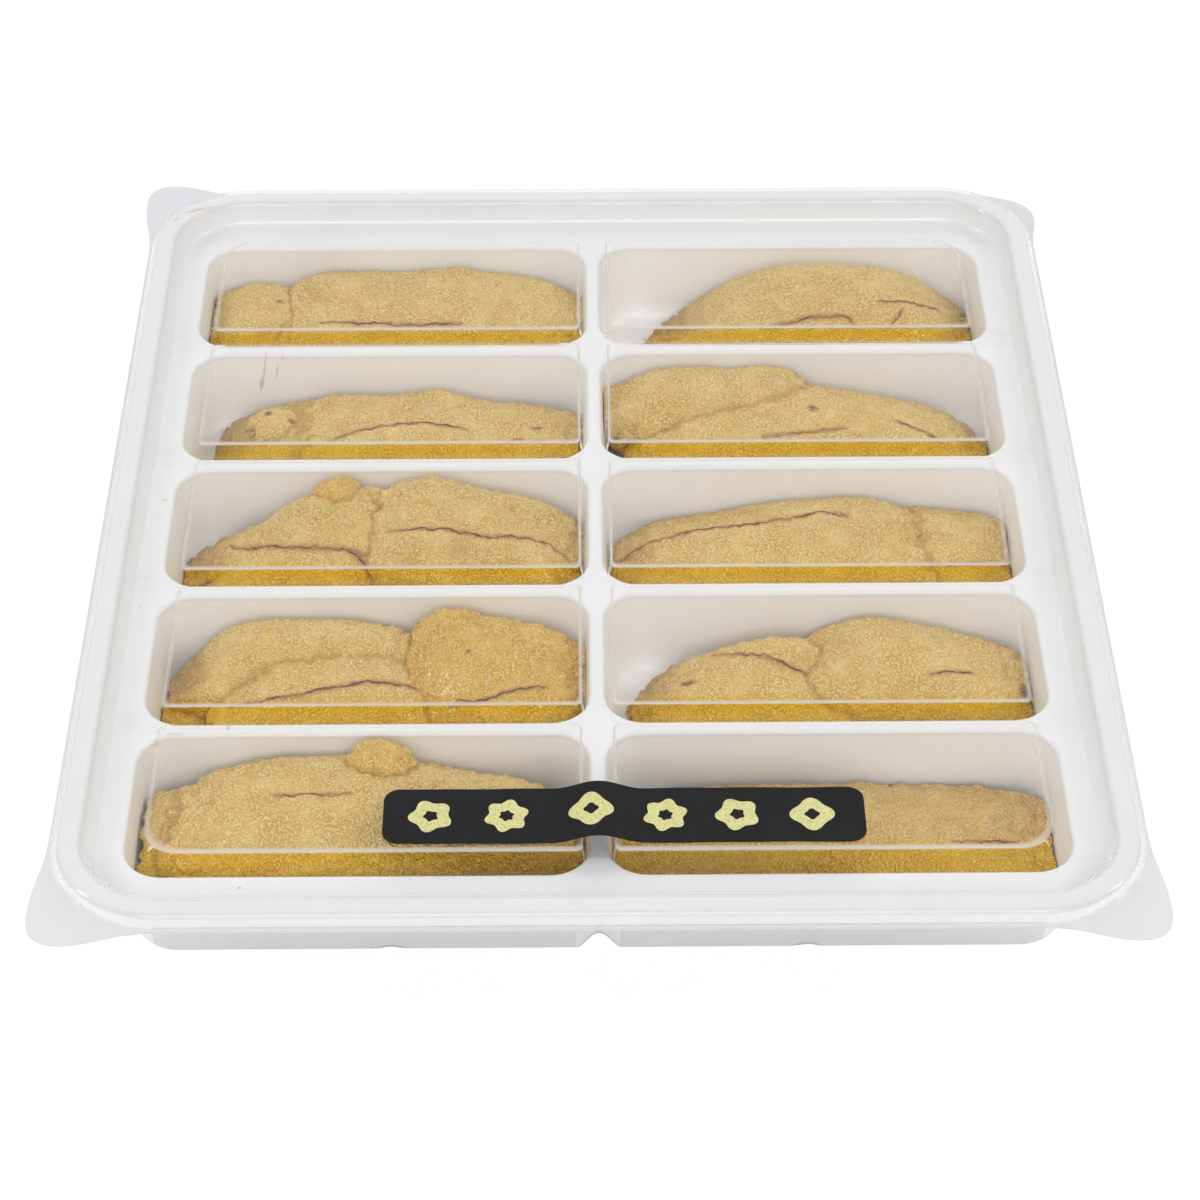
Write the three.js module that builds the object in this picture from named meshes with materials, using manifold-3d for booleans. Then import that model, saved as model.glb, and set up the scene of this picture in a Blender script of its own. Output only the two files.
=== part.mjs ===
// Sea urchin roe in its retail pack: a white thermoformed tray of ten compartments filled with
// roe lobes, a clear push-fit lid with raised pads and corner ears, and a label strip on the lid.
// Millimetres, +Z up, origin on the table under the middle of the pack, label side towards -Y.
import * as THREE from 'three';
import { mergeVertices } from 'three/addons/utils/BufferGeometryUtils.js';
import Module from 'manifold-3d';

const wasm = await Module();
wasm.setup();

// ---- driving dimensions -------------------------------------------------------------------

const COLUMNS = 2;
const ROWS = 5;
const OPENING_X = 85.9;
const OPENING_Y = 36.9;
const DIVIDER = 3.2;
const MOUTH_RADIUS = 7.5;
const SHEET = 0.6;
const CLEARANCE = 0.3;

// How finely corners and fillets are faceted, and how far a cutter runs past what it cuts.
const CORNER_STEPS = 3;
const POCKET_STEPS = 2;
const FILLET_STEPS = 2;
const OVERRUN = 1;

const DECK_Z = 20.5;
const POCKET_FLOOR_Z = SHEET;
const LIP_RADIUS = 0.9;
const WALL_DRAFT = 1.1;
const FLOOR_FILLET = 6;
const FILLET_SPREAD = 0.9;

const BODY_TOP_RADIUS = 8.1;
const BODY_FOOT_RADIUS = 9;
const BODY_EDGE = 0.8;
const BODY_DRAFT = 0.55;
const CENTRE_FLUTE = { halfWidth: 4.9, depth: 4 };
const SIDE_FLUTE = { halfWidth: 4.5, depth: 0.9, x: 39 };
const VALLEY_END = 6;

const DECK_MARGIN_X = 5.8;
const DECK_MARGIN_Y = 9.2;
const RIM_RISE = 5.5;
const RIM_RUN = 1.5;
const RIM_WIDTH = 4.4;
const RIM_FOOT_RADIUS = 14;
const RIM_ROUND = 1;
const RIM_LEG_Z = DECK_Z + 2.6;

const LID_SHEET = 0.5;
const PAD_RISE = 3.6;
const PAD_INSET = 1.1;
const PAD_DIVIDER_INSET = 1.5;
const PAD_SIDE_INSET = 4.4;
const PAD_END_INSET = 2.7;
const PAD_FOOT_INSET = 0.5;
const PAD_CORNER = 1.2;
const PAD_OUTER_CORNER = 6.5;
const LIP_Z = DECK_Z + 2.6;
const LIP_WIDTH = 0.9;
const EAR_REACH_X = 2;
const EAR_REACH_Y = 2.4;
const EAR_LENGTH_X = 22;
const EAR_LENGTH_Y = 24;
const EAR_CORNER = 7;
const EAR_DROOP_SPAN = 6;
const EAR_DROOP = { frontLeft: 0.4, frontRight: 0.6, backLeft: -1, backRight: 2.4 };

const LABEL = { width: 89, depth: 14, thickness: 0.3, corner: 3, x: 4.7, front: 1 };
const HUMP = { rise: 2, half: 8.5, steps: 10 };

const WHITE_PLASTIC = { color: 0xf0f0ec, roughness: 0.35, metalness: 0 };
const CLEAR_PLASTIC = { color: 0xf4f6f8, roughness: 0.08, metalness: 0, transparent: true, opacity: 0.3 };
const LABEL_FILM = { color: 0x2c2a2c, roughness: 0.4, metalness: 0 };
const ROE_YELLOW = { color: 0xd7a94f, roughness: 0.55, metalness: 0 };
const ROE_ORANGE = { color: 0xd9983a, roughness: 0.55, metalness: 0 };

// ---- worked out from them -----------------------------------------------------------------

const PITCH_X = OPENING_X + DIVIDER;
const PITCH_Y = OPENING_Y + DIVIDER;
const FIELD_X = (PITCH_X * COLUMNS - DIVIDER) / 2;
const FIELD_Y = (PITCH_Y * ROWS - DIVIDER) / 2;
const FOOT_X = FIELD_X + DECK_MARGIN_X;
const FOOT_Y = FIELD_Y + DECK_MARGIN_Y;
const RIM_TOP_Z = DECK_Z + RIM_RISE;
const RIM_X = FOOT_X + RIM_RUN + RIM_WIDTH;
const RIM_Y = FOOT_Y + RIM_RUN + RIM_WIDTH;
const RIM_RADIUS = RIM_FOOT_RADIUS + RIM_RUN + RIM_WIDTH;
const LID_BASE_Z = DECK_Z + CLEARANCE;
const PAD_TOP_Z = LID_BASE_Z + PAD_RISE;
const LID_TOP_Z = RIM_TOP_Z + CLEARANCE + LID_SHEET;
const SKIRT = CLEARANCE + LID_SHEET;

const columnX = (column) => (column - (COLUMNS - 1) / 2) * PITCH_X;
const rowY = (row) => ((ROWS - 1) / 2 - row) * PITCH_Y;

// ---- solids -------------------------------------------------------------------------------

function toSolid(geometry) {
  const bare = geometry.index ? geometry.toNonIndexed() : geometry.clone();
  bare.deleteAttribute('normal');
  bare.deleteAttribute('uv');
  const merged = mergeVertices(bare, 1e-4);
  return new wasm.Manifold(new wasm.Mesh({
    numProp: 3,
    vertProperties: new Float32Array(merged.attributes.position.array),
    triVerts: new Uint32Array(merged.index.array),
  }));
}

function toGeometry(solid) {
  const mesh = solid.getMesh();
  const geometry = new THREE.BufferGeometry();
  geometry.setAttribute('position', new THREE.BufferAttribute(mesh.vertProperties, 3));
  geometry.setIndex(new THREE.BufferAttribute(mesh.triVerts, 1));
  geometry.computeVertexNormals();
  return geometry;
}

function joined(solids) {
  return solids.reduce((whole, solid) => whole.add(solid));
}

function roundedRectangle(halfX, halfY, radius) {
  const shape = new THREE.Shape();
  shape.moveTo(halfX, halfY - radius);
  shape.absarc(halfX - radius, halfY - radius, radius, 0, Math.PI / 2, false);
  shape.absarc(radius - halfX, halfY - radius, radius, Math.PI / 2, Math.PI, false);
  shape.absarc(radius - halfX, radius - halfY, radius, Math.PI, Math.PI * 1.5, false);
  shape.absarc(halfX - radius, radius - halfY, radius, Math.PI * 1.5, Math.PI * 2, false);
  return shape;
}

// A drafted block: rounded rectangles stacked at the rings' heights, lowest ring first. Every
// outline point lies on a corner arc, so each ring only moves the arcs and changes their radius.
function draftedBlock(rings, segments, x = 0, y = 0) {
  const base = { halfX: 60, halfY: 40, radius: 10 };
  const geometry = new THREE.ExtrudeGeometry(roundedRectangle(base.halfX, base.halfY, base.radius), {
    depth: rings.length - 1,
    steps: rings.length - 1,
    curveSegments: segments,
    bevelEnabled: false,
  });
  const points = geometry.attributes.position;
  for (let i = 0; i < points.count; i += 1) {
    const ring = rings[Math.round(points.getZ(i))];
    const sideX = Math.sign(points.getX(i));
    const sideY = Math.sign(points.getY(i));
    const arcX = (points.getX(i) - sideX * (base.halfX - base.radius)) / base.radius;
    const arcY = (points.getY(i) - sideY * (base.halfY - base.radius)) / base.radius;
    points.setXYZ(
      i,
      x + sideX * (ring.halfX - ring.radius) + arcX * ring.radius,
      y + sideY * (ring.halfY - ring.radius) + arcY * ring.radius,
      ring.z,
    );
  }
  return toSolid(geometry);
}

function offsetRing(z, halfX, halfY, radius, outset) {
  return { z, halfX: halfX + outset, halfY: halfY + outset, radius: Math.max(radius + outset, 0.8) };
}

function prism(shape, lowZ, highZ, segments) {
  const geometry = new THREE.ExtrudeGeometry(shape, {
    depth: highZ - lowZ,
    curveSegments: segments,
    bevelEnabled: false,
  });
  geometry.translate(0, 0, lowZ);
  return toSolid(geometry);
}

// ---- tray ---------------------------------------------------------------------------------

// Levels of a compartment's wall from its floor up, with how far each stands in from the opening:
// a wide round fillet off the floor, drafted walls and a rounded lip at the deck.
function wallLevels() {
  const levels = [];
  for (let step = 0; step <= FILLET_STEPS; step += 1) {
    const angle = (Math.PI / 2) * (step / FILLET_STEPS);
    levels.push({
      z: POCKET_FLOOR_Z + FLOOR_FILLET * (1 - Math.cos(angle)),
      inset: WALL_DRAFT + FLOOR_FILLET * (1 - Math.sin(angle)) * FILLET_SPREAD,
    });
  }
  levels.push({ z: DECK_Z - LIP_RADIUS, inset: 0 });
  levels.push({ z: DECK_Z, inset: -LIP_RADIUS });
  levels.push({ z: DECK_Z + OVERRUN, inset: -LIP_RADIUS });
  return levels;
}

const WALL_LEVELS = wallLevels();

function wallInset(z) {
  const upper = WALL_LEVELS.findIndex((level) => level.z >= z);
  if (upper < 1) return upper < 0 ? 0 : WALL_LEVELS[0].inset;
  const [low, high] = [WALL_LEVELS[upper - 1], WALL_LEVELS[upper]];
  return THREE.MathUtils.lerp(low.inset, high.inset, (z - low.z) / (high.z - low.z));
}

function compartment(column, row) {
  const rings = WALL_LEVELS.map(({ z, inset }) => (
    offsetRing(z, OPENING_X / 2, OPENING_Y / 2, MOUTH_RADIUS, -inset)
  ));
  return draftedBlock(rings, POCKET_STEPS, columnX(column), rowY(row));
}

// A vertical flute across the front face of the body at -Y, bell shaped in plan.
function flute({ halfWidth, depth }, x, faceY) {
  const shape = new THREE.Shape();
  const outside = faceY - OVERRUN;
  shape.moveTo(x - halfWidth, outside);
  shape.lineTo(x + halfWidth, outside);
  shape.lineTo(x + halfWidth, faceY);
  shape.bezierCurveTo(x + halfWidth / 2, faceY, x + halfWidth / 2, faceY + depth, x, faceY + depth);
  shape.bezierCurveTo(x - halfWidth / 2, faceY + depth, x - halfWidth / 2, faceY, x - halfWidth, faceY);
  shape.closePath();
  return prism(shape, -OVERRUN, DECK_Z - SHEET, 3);
}

// The hollow below a divider, open downwards and tapering up to the deck.
function valley(halfLength, alongX, x, y) {
  const low = DIVIDER / 2 + WALL_DRAFT - SHEET;
  const high = DIVIDER / 2 - SHEET;
  const ring = (z, half) => ({
    z,
    halfX: alongX ? halfLength : half,
    halfY: alongX ? half : halfLength,
    radius: half * 0.5,
  });
  return draftedBlock([ring(-OVERRUN, low), ring(DECK_Z - SHEET, high)], 1, x, y);
}

// The outside of the rim, from lowZ up to a rounded top edge at highZ.
function rimBlock(lowZ, highZ, outset) {
  return draftedBlock([
    offsetRing(lowZ, RIM_X, RIM_Y, RIM_RADIUS, outset),
    offsetRing(highZ - RIM_ROUND, RIM_X, RIM_Y, RIM_RADIUS, outset),
    offsetRing(highZ - RIM_ROUND * 0.3, RIM_X, RIM_Y, RIM_RADIUS, outset - RIM_ROUND * 0.3),
    offsetRing(highZ, RIM_X, RIM_Y, RIM_RADIUS, outset - RIM_ROUND),
  ], CORNER_STEPS);
}

// The hollow inside the rim, from lowZ to above the pack; its wall leans outwards as it rises.
function basin(lowZ, outset, highZ = RIM_TOP_Z + OVERRUN) {
  const ring = (z) => (
    offsetRing(z, FOOT_X, FOOT_Y, RIM_FOOT_RADIUS, outset + RIM_RUN * (z - DECK_Z) / RIM_RISE)
  );
  return draftedBlock([ring(lowZ), ring(highZ)], CORNER_STEPS);
}

function makeTray() {
  const footX = FIELD_X + SHEET - BODY_DRAFT;
  const footY = FIELD_Y + SHEET - BODY_DRAFT;
  const body = draftedBlock([
    offsetRing(0, footX, footY, BODY_FOOT_RADIUS, -BODY_EDGE),
    offsetRing(BODY_EDGE, footX, footY, BODY_FOOT_RADIUS, 0),
    offsetRing(DECK_Z - SHEET / 2, FIELD_X + SHEET, FIELD_Y + SHEET, BODY_TOP_RADIUS, 0),
  ], CORNER_STEPS);

  // Each flute is backed on the inside by the same sheet.
  const flutes = [];
  const backs = [];
  for (const [size, x] of [[CENTRE_FLUTE, 0], [SIDE_FLUTE, -SIDE_FLUTE.x], [SIDE_FLUTE, SIDE_FLUTE.x]]) {
    const front = flute(size, x, -footY);
    const back = flute({ halfWidth: size.halfWidth + SHEET, depth: size.depth + SHEET }, x, -footY);
    flutes.push(front, front.rotate([0, 0, 180]));
    backs.push(back, back.rotate([0, 0, 180]));
  }

  const valleys = [valley(FIELD_Y - VALLEY_END, false, 0, 0)];
  for (let row = 0; row < ROWS - 1; row += 1) {
    valleys.push(valley(FIELD_X - VALLEY_END, true, 0, rowY(row) - PITCH_Y / 2));
  }

  const flange = rimBlock(DECK_Z - SHEET, RIM_TOP_Z, 0);
  const rimLeg = draftedBlock([
    offsetRing(DECK_Z - SHEET - OVERRUN, RIM_X, RIM_Y, RIM_RADIUS, OVERRUN),
    offsetRing(RIM_LEG_Z, RIM_X, RIM_Y, RIM_RADIUS, OVERRUN),
  ], CORNER_STEPS);
  const rimHollow = rimBlock(DECK_Z - SHEET - OVERRUN, RIM_TOP_Z - SHEET, -SHEET)
    .add(rimLeg)
    .subtract(basin(DECK_Z - RIM_RISE, SHEET));

  const hollows = [];
  for (let row = 0; row < ROWS; row += 1) {
    for (let column = 0; column < COLUMNS; column += 1) {
      hollows.push(compartment(column, row));
    }
  }
  return flange.subtract(rimHollow)
    .subtract(basin(DECK_Z, 0))
    .add(body)
    .subtract(joined(hollows))
    .add(joined(backs).intersect(body))
    .subtract(joined(flutes))
    .subtract(joined(valleys));
}

// ---- lid ----------------------------------------------------------------------------------

// One raised pad. Its sides lean in from its foot to its top: a little over the dividers, more
// towards the rim, where the pack's outer corner is round too.
function padBlock(column, row, shrink, lowZ, highZ) {
  const left = column === 0;
  const back = row === 0;
  const front = row === ROWS - 1;
  const topInset = {
    left: left ? PAD_SIDE_INSET : PAD_DIVIDER_INSET,
    right: left ? PAD_DIVIDER_INSET : PAD_SIDE_INSET,
    front: front ? PAD_END_INSET : PAD_INSET,
    back: back ? PAD_END_INSET : PAD_INSET,
  };
  const geometry = new THREE.ExtrudeGeometry(roundedRectangle(2, 2, 1), {
    depth: 1,
    curveSegments: 1,
    bevelEnabled: false,
  });
  const points = geometry.attributes.position;
  for (let i = 0; i < points.count; i += 1) {
    const top = points.getZ(i) > 0.5;
    const right = Math.sign(points.getX(i));
    const up = Math.sign(points.getY(i));
    const sideInset = top ? topInset[right > 0 ? 'right' : 'left'] : PAD_FOOT_INSET;
    const endInset = top ? topInset[up > 0 ? 'back' : 'front'] : PAD_FOOT_INSET;
    const atCorner = (right < 0) === left && ((up > 0 && back) || (up < 0 && front));
    const radius = atCorner ? PAD_OUTER_CORNER : PAD_CORNER;
    const cornerX = right * (OPENING_X / 2 - sideInset - shrink - radius);
    const cornerY = up * (OPENING_Y / 2 - endInset - shrink - radius);
    points.setXYZ(
      i,
      columnX(column) + cornerX + (points.getX(i) - right) * radius,
      rowY(row) + cornerY + (points.getY(i) - up) * radius,
      top ? highZ : lowZ,
    );
  }
  return toSolid(geometry);
}

// The lip round the skirt's lower edge, widened into an ear at each corner.
function earedOutline() {
  const x = RIM_X + SKIRT + LIP_WIDTH;
  const y = RIM_Y + SKIRT + LIP_WIDTH;
  const shape = new THREE.Shape();
  const corners = [[1, 1], [-1, 1], [-1, -1], [1, -1]];
  corners.forEach(([sideX, sideY], index) => {
    const tipX = sideX * (x + EAR_REACH_X);
    const tipY = sideY * (y + EAR_REACH_Y);
    const alongSide = [
      [sideX * x, sideY * (y - EAR_LENGTH_Y)],
      [sideX * x, sideY * (y - EAR_LENGTH_Y * 0.6)],
      [tipX, sideY * (y - EAR_LENGTH_Y * 0.55)],
      [tipX, tipY - sideY * EAR_CORNER],
    ];
    const alongEnd = [
      [tipX - sideX * EAR_CORNER, tipY],
      [sideX * (x - EAR_LENGTH_X * 0.5), tipY],
      [sideX * (x - EAR_LENGTH_X * 0.6), sideY * y],
      [sideX * (x - EAR_LENGTH_X), sideY * y],
    ];
    const forward = sideX * sideY > 0;
    const first = forward ? alongSide : [...alongEnd].reverse();
    const second = forward ? alongEnd : [...alongSide].reverse();
    if (index === 0) shape.moveTo(...first[0]);
    else shape.lineTo(...first[0]);
    shape.bezierCurveTo(...first[1], ...first[2], ...first[3]);
    shape.quadraticCurveTo(tipX, tipY, ...second[0]);
    shape.bezierCurveTo(...second[1], ...second[2], ...second[3]);
  });
  shape.closePath();
  return shape;
}

function makeLip() {
  const shape = earedOutline();
  const inner = SKIRT - LID_SHEET * 0.5;
  shape.holes.push(roundedRectangle(RIM_X + inner, RIM_Y + inner, RIM_RADIUS + inner));
  const geometry = new THREE.ExtrudeGeometry(shape, {
    depth: LID_SHEET,
    curveSegments: 4,
    bevelEnabled: false,
  });
  const points = geometry.attributes.position;
  for (let i = 0; i < points.count; i += 1) {
    const x = points.getX(i);
    const y = points.getY(i);
    const beyondX = Math.max(Math.abs(x) - RIM_X + RIM_RADIUS, 0);
    const beyondY = Math.max(Math.abs(y) - RIM_Y + RIM_RADIUS, 0);
    const overhang = Math.max(Math.hypot(beyondX, beyondY) - RIM_RADIUS - SKIRT, 0);
    const droop = EAR_DROOP[(y < 0 ? 'front' : 'back') + (x < 0 ? 'Left' : 'Right')];
    points.setZ(i, points.getZ(i) + LIP_Z - droop * overhang / EAR_DROOP_SPAN);
  }
  return toSolid(geometry);
}

function makeLid() {
  const outside = rimBlock(LIP_Z, LID_TOP_Z, SKIRT);
  const well = basin(LID_BASE_Z + LID_SHEET, -SKIRT, LID_TOP_Z + OVERRUN);
  const plug = basin(LID_BASE_Z, -CLEARANCE, RIM_TOP_Z);
  const rimSpace = rimBlock(DECK_Z - OVERRUN, RIM_TOP_Z + CLEARANCE, CLEARANCE)
    .subtract(basin(DECK_Z - RIM_RISE, -CLEARANCE));

  const pads = [];
  const padHollows = [];
  for (let row = 0; row < ROWS; row += 1) {
    for (let column = 0; column < COLUMNS; column += 1) {
      pads.push(padBlock(column, row, 0, LID_BASE_Z, PAD_TOP_Z));
      padHollows.push(padBlock(column, row, LID_SHEET, LID_BASE_Z - OVERRUN, PAD_TOP_Z - LID_SHEET));
    }
  }
  return outside.add(plug)
    .subtract(well)
    .subtract(rimSpace)
    .add(joined(pads))
    .subtract(joined(padHollows))
    .add(makeLip());
}

// ---- label --------------------------------------------------------------------------------

// A film strip across the front pads, arched over the groove between the two columns.
function makeLabel() {
  const lowZ = PAD_TOP_Z + CLEARANCE;
  const halfWidth = LABEL.width / 2;
  const frontY = rowY(ROWS - 1) - OPENING_Y / 2 + PAD_END_INSET + LABEL.front;
  const shape = new THREE.Shape();
  const arch = (x) => {
    const t = Math.min(Math.abs(x) / HUMP.half, 1);
    return HUMP.rise * (0.5 + 0.5 * Math.cos(Math.PI * t));
  };
  shape.moveTo(LABEL.x - halfWidth, lowZ);
  for (let i = 0; i <= HUMP.steps; i += 1) {
    const x = HUMP.half * (2 * i / HUMP.steps - 1);
    shape.lineTo(x, lowZ + arch(x));
  }
  shape.lineTo(LABEL.x + halfWidth, lowZ);
  shape.lineTo(LABEL.x + halfWidth, lowZ + LABEL.thickness);
  for (let i = HUMP.steps; i >= 0; i -= 1) {
    const x = HUMP.half * (2 * i / HUMP.steps - 1);
    shape.lineTo(x, lowZ + LABEL.thickness + arch(x));
  }
  shape.lineTo(LABEL.x - halfWidth, lowZ + LABEL.thickness);
  shape.closePath();
  const strip = new THREE.ExtrudeGeometry(shape, { depth: LABEL.depth, bevelEnabled: false });
  strip.rotateX(Math.PI / 2);
  strip.translate(0, frontY + LABEL.depth, 0);
  const outline = roundedRectangle(halfWidth, LABEL.depth / 2, LABEL.corner);
  const cutter = prism(outline, lowZ - OVERRUN, lowZ + HUMP.rise + OVERRUN, CORNER_STEPS)
    .translate([LABEL.x, frontY + LABEL.depth / 2, 0]);
  return toSolid(strip).intersect(cutter);
}

// ---- roe ----------------------------------------------------------------------------------

// One lobe: its compartment (column, row); the middle and highest level of its crest, measured
// from the middle of the compartment's opening; and half its length, half its width and how far
// its shoulder lies below the crest. It may also turn in plan (degrees), fall along its length,
// bend in plan, or go only so deep below its shoulder: without that it reaches the floor. A
// higher fill makes its plan squarer, from an oval at 2. Its hollows are soft dips, or swellings
// if their depth is negative: x, y, half spans and depth.
function lobe(name, at, [x, y, top], [long, wide, shoulder], pose = {}) {
  const plain = { turn: 0, fall: 0, bend: 0, fill: 2.4, hollows: [] };
  return { name, at, x, y, top, long, wide, shoulder, ...plain, ...pose };
}

// Later lobes of a compartment lie on or against its earlier ones.
const LOBES = [
  lobe('roe_1l_main', [0, 0], [9, 1, -1.5], [37, 17.5, 8], {
    turn: -2, fall: 0.02, bend: 2, fill: 4,
    hollows: [[14, 14, 3, 3, -1.5], [-2, 13, 9, 6, 1], [-18, 10, 6, 6, -2], [42, 10, 5, 8, 1.2]],
  }),
  lobe('roe_1l_end', [0, 0], [-32, 3, -3.5], [13, 14, 8], {
    turn: 12, fill: 3,
    hollows: [[-41, 4, 3, 8, 3]],
  }),
  lobe('roe_1r_dome', [1, 0], [8.5, 1, 2.4], [41, 18, 16], {
    fall: 0.01, bend: -1, fill: 3,
    hollows: [[-26, 4, 12, 22, 9], [42, 4, 11, 22, 8], [8, 10, 12, 8, -1.2]],
  }),
  lobe('roe_2l_end', [0, 1], [-25, 0, -8.6], [18, 17, 7], {
    turn: 8, fall: -0.22, fill: 3.5,
    hollows: [[-41, 4, 5, 14, 5]],
  }),
  lobe('roe_2l_main', [0, 1], [12, 0, -5], [36, 16, 8], {
    turn: -3, fall: 0.05, fill: 4,
    hollows: [[11, 12, 7, 6, -2], [-14, 10, 8, 6, -0.5], [40, 4, 8, 12, -1]],
  }),
  lobe('roe_2l_knob', [0, 1], [-25, 5, -6.4], [6.5, 6, 4], { turn: 30, deep: 3 }),
  lobe('roe_2r_back', [1, 1], [-20, 8, 0.8], [24, 11, 9], {
    turn: 3, fill: 3.5,
    hollows: [[-14, 14, 5, 5, 1.5], [0, 12, 7, 6, -1.5], [-38, 12, 5, 8, 2]],
  }),
  lobe('roe_2r_front', [1, 1], [4, -1, -1.6], [42, 17, 13], {
    turn: -3, fall: 0.06, bend: 2, fill: 3.5,
    hollows: [[26, 8, 12, 6, 1.8], [42, 6, 6, 10, 2.5]],
  }),
  lobe('roe_3l_peak', [0, 2], [-9.5, 11.5, 1.8], [7, 6, 7], { turn: 20, orange: true }),
  lobe('roe_3l_right', [0, 2], [19, 1, 2.2], [24, 17, 12], {
    turn: -5, fall: 0.12, fill: 3.5,
    hollows: [[10, 13, 8, 6, -2], [-3, 12, 4, 6, -1.5]],
  }),
  lobe('roe_3l_left', [0, 2], [-16, 1, -2], [28, 16, 12], {
    turn: 12, fall: -0.16, bend: -2, fill: 3.2,
    hollows: [[-16, 9, 7, 8, -4.5], [-3, 12, 6, 6, -2.5], [-32, 0, 8, 10, 1.5], [-41, 6, 5, 10, 2]],
  }),
  lobe('roe_3r_right', [1, 2], [30, 2, -5.8], [15, 16, 8], { turn: -8, fall: 0.05, fill: 4 }),
  lobe('roe_3r_main', [1, 2], [-8, 0, -4], [36, 17.5, 9], {
    turn: 3, fall: -0.08, bend: 2, fill: 4,
    hollows: [[-20, 12, 10, 6, 1.6], [12, 10, 8, 6, -0.5]],
  }),
  lobe('roe_4l_back', [0, 3], [-14, 6, -0.6], [28, 12, 11], {
    turn: 2, bend: 1, fill: 3,
    hollows: [[-38, 8, 6, 8, 6], [-14, 2, 24, 3.5, 2]],
  }),
  lobe('roe_4l_orange', [0, 3], [24, 1, 1.6], [20, 17, 12], {
    turn: -10, fall: 0.1, fill: 3.5, orange: true,
    hollows: [[14, 12, 5, 6, -1.8], [2, 10, 5, 8, 1.5], [7, -8, 9, 9, 6]],
  }),
  lobe('roe_4l_front', [0, 3], [-8, -3, -2.4], [25, 14, 9], { turn: 2, bend: 1, fill: 4 }),
  lobe('roe_4l_scrap', [0, 3], [-37, -4, -11], [7, 9, 5], { turn: 40 }),
  lobe('roe_4r_right', [1, 3], [19, 3, -0.4], [25, 15, 12], {
    turn: -6, fall: 0.08, fill: 3.5,
    hollows: [[-4, 10, 6, 8, 1.6], [1, 10, 7, 8, 1.6], [32, 8, 8, 8, 2.5]],
  }),
  lobe('roe_4r_left', [1, 3], [-12, -2, -5.4], [28, 15, 11], {
    fall: -0.05, bend: 2, fill: 3.2,
    hollows: [[-8, 10, 12, 6, -3.6], [-38, 4, 6, 10, 3]],
  }),
  lobe('roe_5l_main', [0, 4], [3, 0, 0.8], [42, 17.5, 12], {
    turn: -2, fall: 0.06, bend: 2, fill: 3.5,
    hollows: [[20, 14, 10, 5, 1.2], [-28, 10, 10, 6, 1.2]],
  }),
  lobe('roe_5l_end', [0, 4], [-35, 0, -5.4], [9, 14, 7], {
    fill: 3.2,
    hollows: [[-34, 6, 6, 8, -1]],
  }),
  lobe('roe_5l_knob', [0, 4], [3.5, 11.5, 2.8], [7, 5, 5], { turn: -15, deep: 3, orange: true }),
  lobe('roe_5r_main', [1, 4], [2, 0, -9], [44, 17, 5], {
    bend: 1, fill: 4,
    hollows: [[38, 10, 8, 8, -1]],
  }),
];

// Keeps a point, given from the middle of a compartment, inside its walls, floor and pad.
function heldIn(point) {
  point.z = THREE.MathUtils.clamp(point.z, POCKET_FLOOR_Z + CLEARANCE, PAD_TOP_Z - LID_SHEET - CLEARANCE);
  const padInset = point.z > DECK_Z - LIP_RADIUS ? PAD_INSET + LID_SHEET : 0;
  const inset = Math.max(wallInset(point.z), padInset) + CLEARANCE;
  const radius = Math.max(MOUTH_RADIUS - inset, 1);
  const straightX = OPENING_X / 2 - inset - radius;
  const straightY = OPENING_Y / 2 - inset - radius - SIDE_FLUTE.depth;
  const overX = Math.max(Math.abs(point.x) - straightX, 0);
  const overY = Math.max(Math.abs(point.y) - straightY, 0);
  const pull = Math.min(1, radius / Math.max(Math.hypot(overX, overY), 1e-6));
  point.x = Math.sign(point.x) * (Math.min(Math.abs(point.x), straightX) + overX * pull);
  point.y = Math.sign(point.y) * (Math.min(Math.abs(point.y), straightY) + overY * pull);
}

function hollowDepth(hollows, point) {
  return hollows.reduce((sum, [x, y, halfX, halfY, depth]) => (
    sum + depth * Math.exp(-(((point.x - x) / halfX) ** 2) - ((point.y - y) / halfY) ** 2)
  ), 0);
}

// A lobe as a rounded body, swollen by a little where it is cut out of a neighbour. Its hollows
// sink its upper half, and fade out towards its foot.
function lobeGeometry(size, swell) {
  const geometry = new THREE.SphereGeometry(1, 10, 7);
  geometry.rotateX(Math.PI / 2);
  const shoulderZ = DECK_Z + size.top - size.shoulder;
  const deep = size.deep ?? shoulderZ - POCKET_FLOOR_Z;
  const turn = THREE.MathUtils.degToRad(size.turn);
  const points = geometry.attributes.position;
  const point = new THREE.Vector3();
  for (let i = 0; i < points.count; i += 1) {
    const unit = new THREE.Vector3().fromBufferAttribute(points, i);
    const side = Math.max(Math.hypot(unit.x, unit.y), 1e-6);
    const square = (Math.abs(unit.x / side) ** size.fill + Math.abs(unit.y / side) ** size.fill);
    unit.x *= square ** (-1 / size.fill);
    unit.y *= square ** (-1 / size.fill);
    const along = unit.x * (size.long + swell);
    const across = unit.y * (size.wide + swell) + size.bend * (1 - 2 * unit.x * unit.x);
    const half = (unit.z > 0 ? size.shoulder : deep) + swell;
    point.set(
      size.x + along * Math.cos(turn) - across * Math.sin(turn),
      size.y + along * Math.sin(turn) + across * Math.cos(turn),
      shoulderZ + unit.z * half - size.fall * along,
    );
    point.z -= hollowDepth(size.hollows, point) * Math.min(1 + unit.z, 1);
    if (swell === 0) heldIn(point);
    points.setXYZ(i, point.x, point.y, point.z);
  }
  const [column, row] = size.at;
  geometry.translate(columnX(column), rowY(row), 0);
  return geometry;
}

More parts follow.
